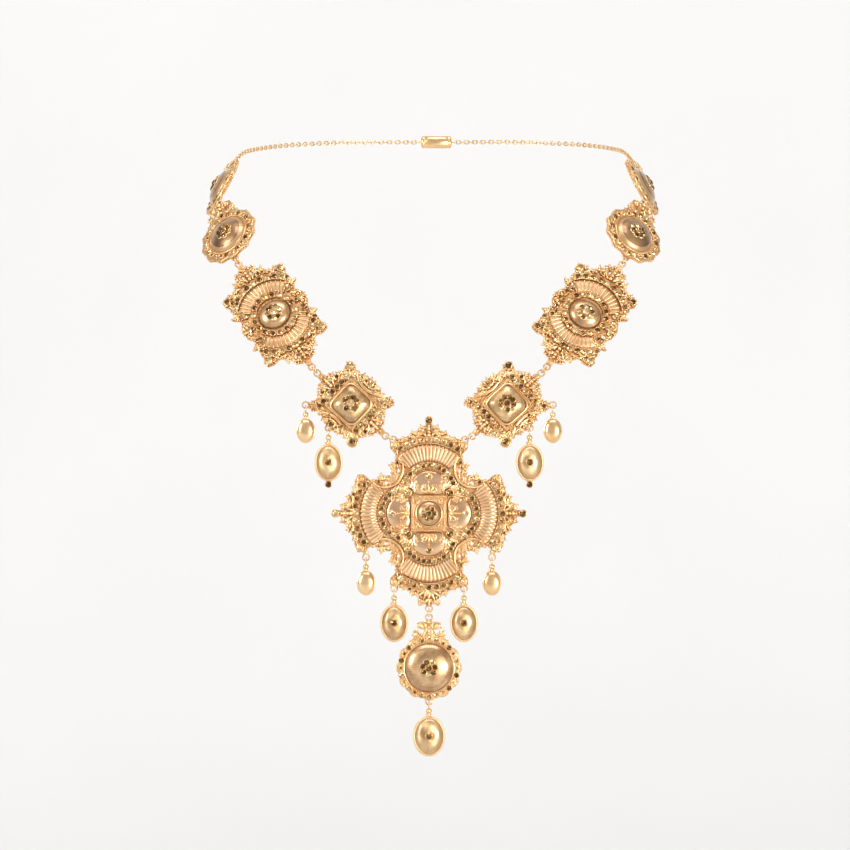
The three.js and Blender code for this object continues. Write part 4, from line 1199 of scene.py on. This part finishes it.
def link_frames(points):
    """For each link along a route, its middle and three directions, turned a quarter by turns."""
    ahead = np.diff(points, axis=0)
    ahead /= np.linalg.norm(ahead, axis=1, keepdims=True)
    flat = np.cross(ahead, [0, 0, 1.0])
    flat /= np.linalg.norm(flat, axis=1, keepdims=True)
    other = np.cross(ahead, flat)
    odd = (np.arange(len(ahead)) % 2 == 1)[:, None]
    directions = np.stack([ahead, np.where(odd, flat, other), np.where(odd, -other, flat)], 1)
    return (points[1:] + points[:-1]) / 2, directions


# %% Chain links
oval_link = wire(oval_path(1.0, 0.68, 14), LINK_WIRE, sides=5, closed=True)
for side, hand in SIDES.items():
    eye, way, face = chain_starts[side]
    bends = np.array([*NAPE_ROUTE, CLASP_END]) * [-hand, 1, 1]
    start = eye + way * (RING_REACH + RING["radius"])
    middle, directions = link_frames(resampled(smooth_route(np.concatenate([[start], bends])), LINK_PITCH))
    points = middle[:, None] + np.einsum("pi,nij->npj", oval_link[0], directions)
    count = np.arange(len(middle))[:, None, None] * len(oval_link[0])
    chain = points.reshape(-1, 3), (oval_link[1][None] + count).reshape(-1, 3)
    end_ring = stood(JUMP_RING, standing(eye + way * RING_REACH, way, np.cross(way, face)))
    piece(f"chain_{side}", gather([chain, end_ring]), CHAIN_GOLD, "necklace", None,
          [f"back_chain_{side}"])
    print(side, "chain:", len(middle), "links,", round(len(middle) * LINK_PITCH), "mm")

# %% Clasp
half_barrel = [(4.2, 1.0), (4.35, 0.92), (4.5, 1.0), (4.9, 1.0), (5.35, 0.86), (5.5, 0.6)]
barrel_rows = [(-x, size) for x, size in half_barrel[::-1]] + half_barrel
barrel_y, barrel_z = oval_path(CLASP["depth"] / 2, CLASP["height"] / 2, 32).T
barrel = loft([columns(x, CLASP["depth"] / 2 + size * barrel_y, size * barrel_z) for x, size in barrel_rows])
piece("clasp_barrel", barrel, POLISHED_GOLD, "necklace", None, ["clasp"])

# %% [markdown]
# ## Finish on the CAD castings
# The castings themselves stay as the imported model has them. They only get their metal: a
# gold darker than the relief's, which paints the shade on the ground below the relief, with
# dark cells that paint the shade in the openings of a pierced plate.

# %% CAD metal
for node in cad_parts.values():
    node.data.materials.clear()
    node.data.materials.append(SHADED_GROUND_GOLD)

# %% [markdown]
# ## Stage and light
# A sweep of pale paper is floor and backdrop in one. Its back is clear, so that the piece can
# be looked at from behind as well. Gold only looks like gold when it has both light and dark
# to reflect, so large soft lamps stand at the sides and above, and the air between them
# stays a mid grey.

# %% Stage
SWEEP_BACK = 0.42
SWEEP_FLOOR = -0.31
SWEEP_BEND = 0.3
SWEEP_HALF = 3.0
SWEEP_FRONT = -3.0
SWEEP_TOP = 2.2
bend = arc_path(SWEEP_BACK - SWEEP_BEND, SWEEP_FLOOR + SWEEP_BEND, SWEEP_BEND, -90, 0, 20)
profile = np.concatenate([[[SWEEP_FRONT, SWEEP_FLOOR]], bend, [[SWEEP_BACK, SWEEP_TOP]]])
sweep_points = np.concatenate([columns(x, *profile.T) for x in (-SWEEP_HALF, SWEEP_HALF)])
half = len(profile)
step = np.arange(half - 1)
sweep_faces = columns(step, half + step, half + step + 1, step + 1)

paper = Finish("pale_paper")
paper_tone = paper.ramp(paper.noise(6, 2), [(0.3, (0.73, 0.727, 0.722)), (0.7, (0.755, 0.752, 0.747))])
paper.feed(paper.shader, {"Base Color": paper_tone, "Roughness": 0.9})
behind = paper.add("NewGeometry", "Backfacing")
clear = paper.add("BsdfTransparent", "BSDF")
one_way = paper.add("MixShader", "Shader", {0: behind, 1: paper.shader.outputs["BSDF"], 2: clear})
paper.feed(paper.nodes["Material Output"], {"Surface": one_way})
sweep = surface("paper_sweep", sweep_points, sweep_faces, paper.material)


# %% Lights
LIT_PLACE = (0, -0.1, -0.1)


def softbox(name, place, wide, high, power):
    """A soft lamp that looks at the cross."""
    lamp = bpy.data.lights.new(name, "AREA")
    lamp.shape = "RECTANGLE"
    lamp.size, lamp.size_y = wide, high
    lamp.energy = power
    item = show(name, lamp)
    item.location = place
    item.rotation_euler = (Vector(LIT_PLACE) - Vector(place)).to_track_quat("-Z", "Y").to_euler()


softbox("key_right", (0.66, -1.05, -0.2), 0.42, 0.42, 10)
softbox("fill_left", (-0.9, -0.8, 0.2), 0.4, 0.6, 5)
softbox("top", (0.0, -0.5, 1.0), 1.0, 0.5, 6)

world = bpy.data.worlds.new("air")
bpy.context.scene.world = world
world.use_nodes = True
air = world.node_tree.nodes["Background"].inputs
air["Color"].default_value = (1.0, 0.985, 0.96, 1)
air["Strength"].default_value = 0.57
bpy.context.scene.view_settings.view_transform = "Standard"

# %% [markdown]
# ## Measure and finish
# The triangles added are counted and printed, in all and for the largest piece.

# %% Finish
print("triangles added:", sum(count for _, count in pieces_made), "in", len(pieces_made), "pieces;",
      "most in one:", max(pieces_made, key=lambda made: made[1]))
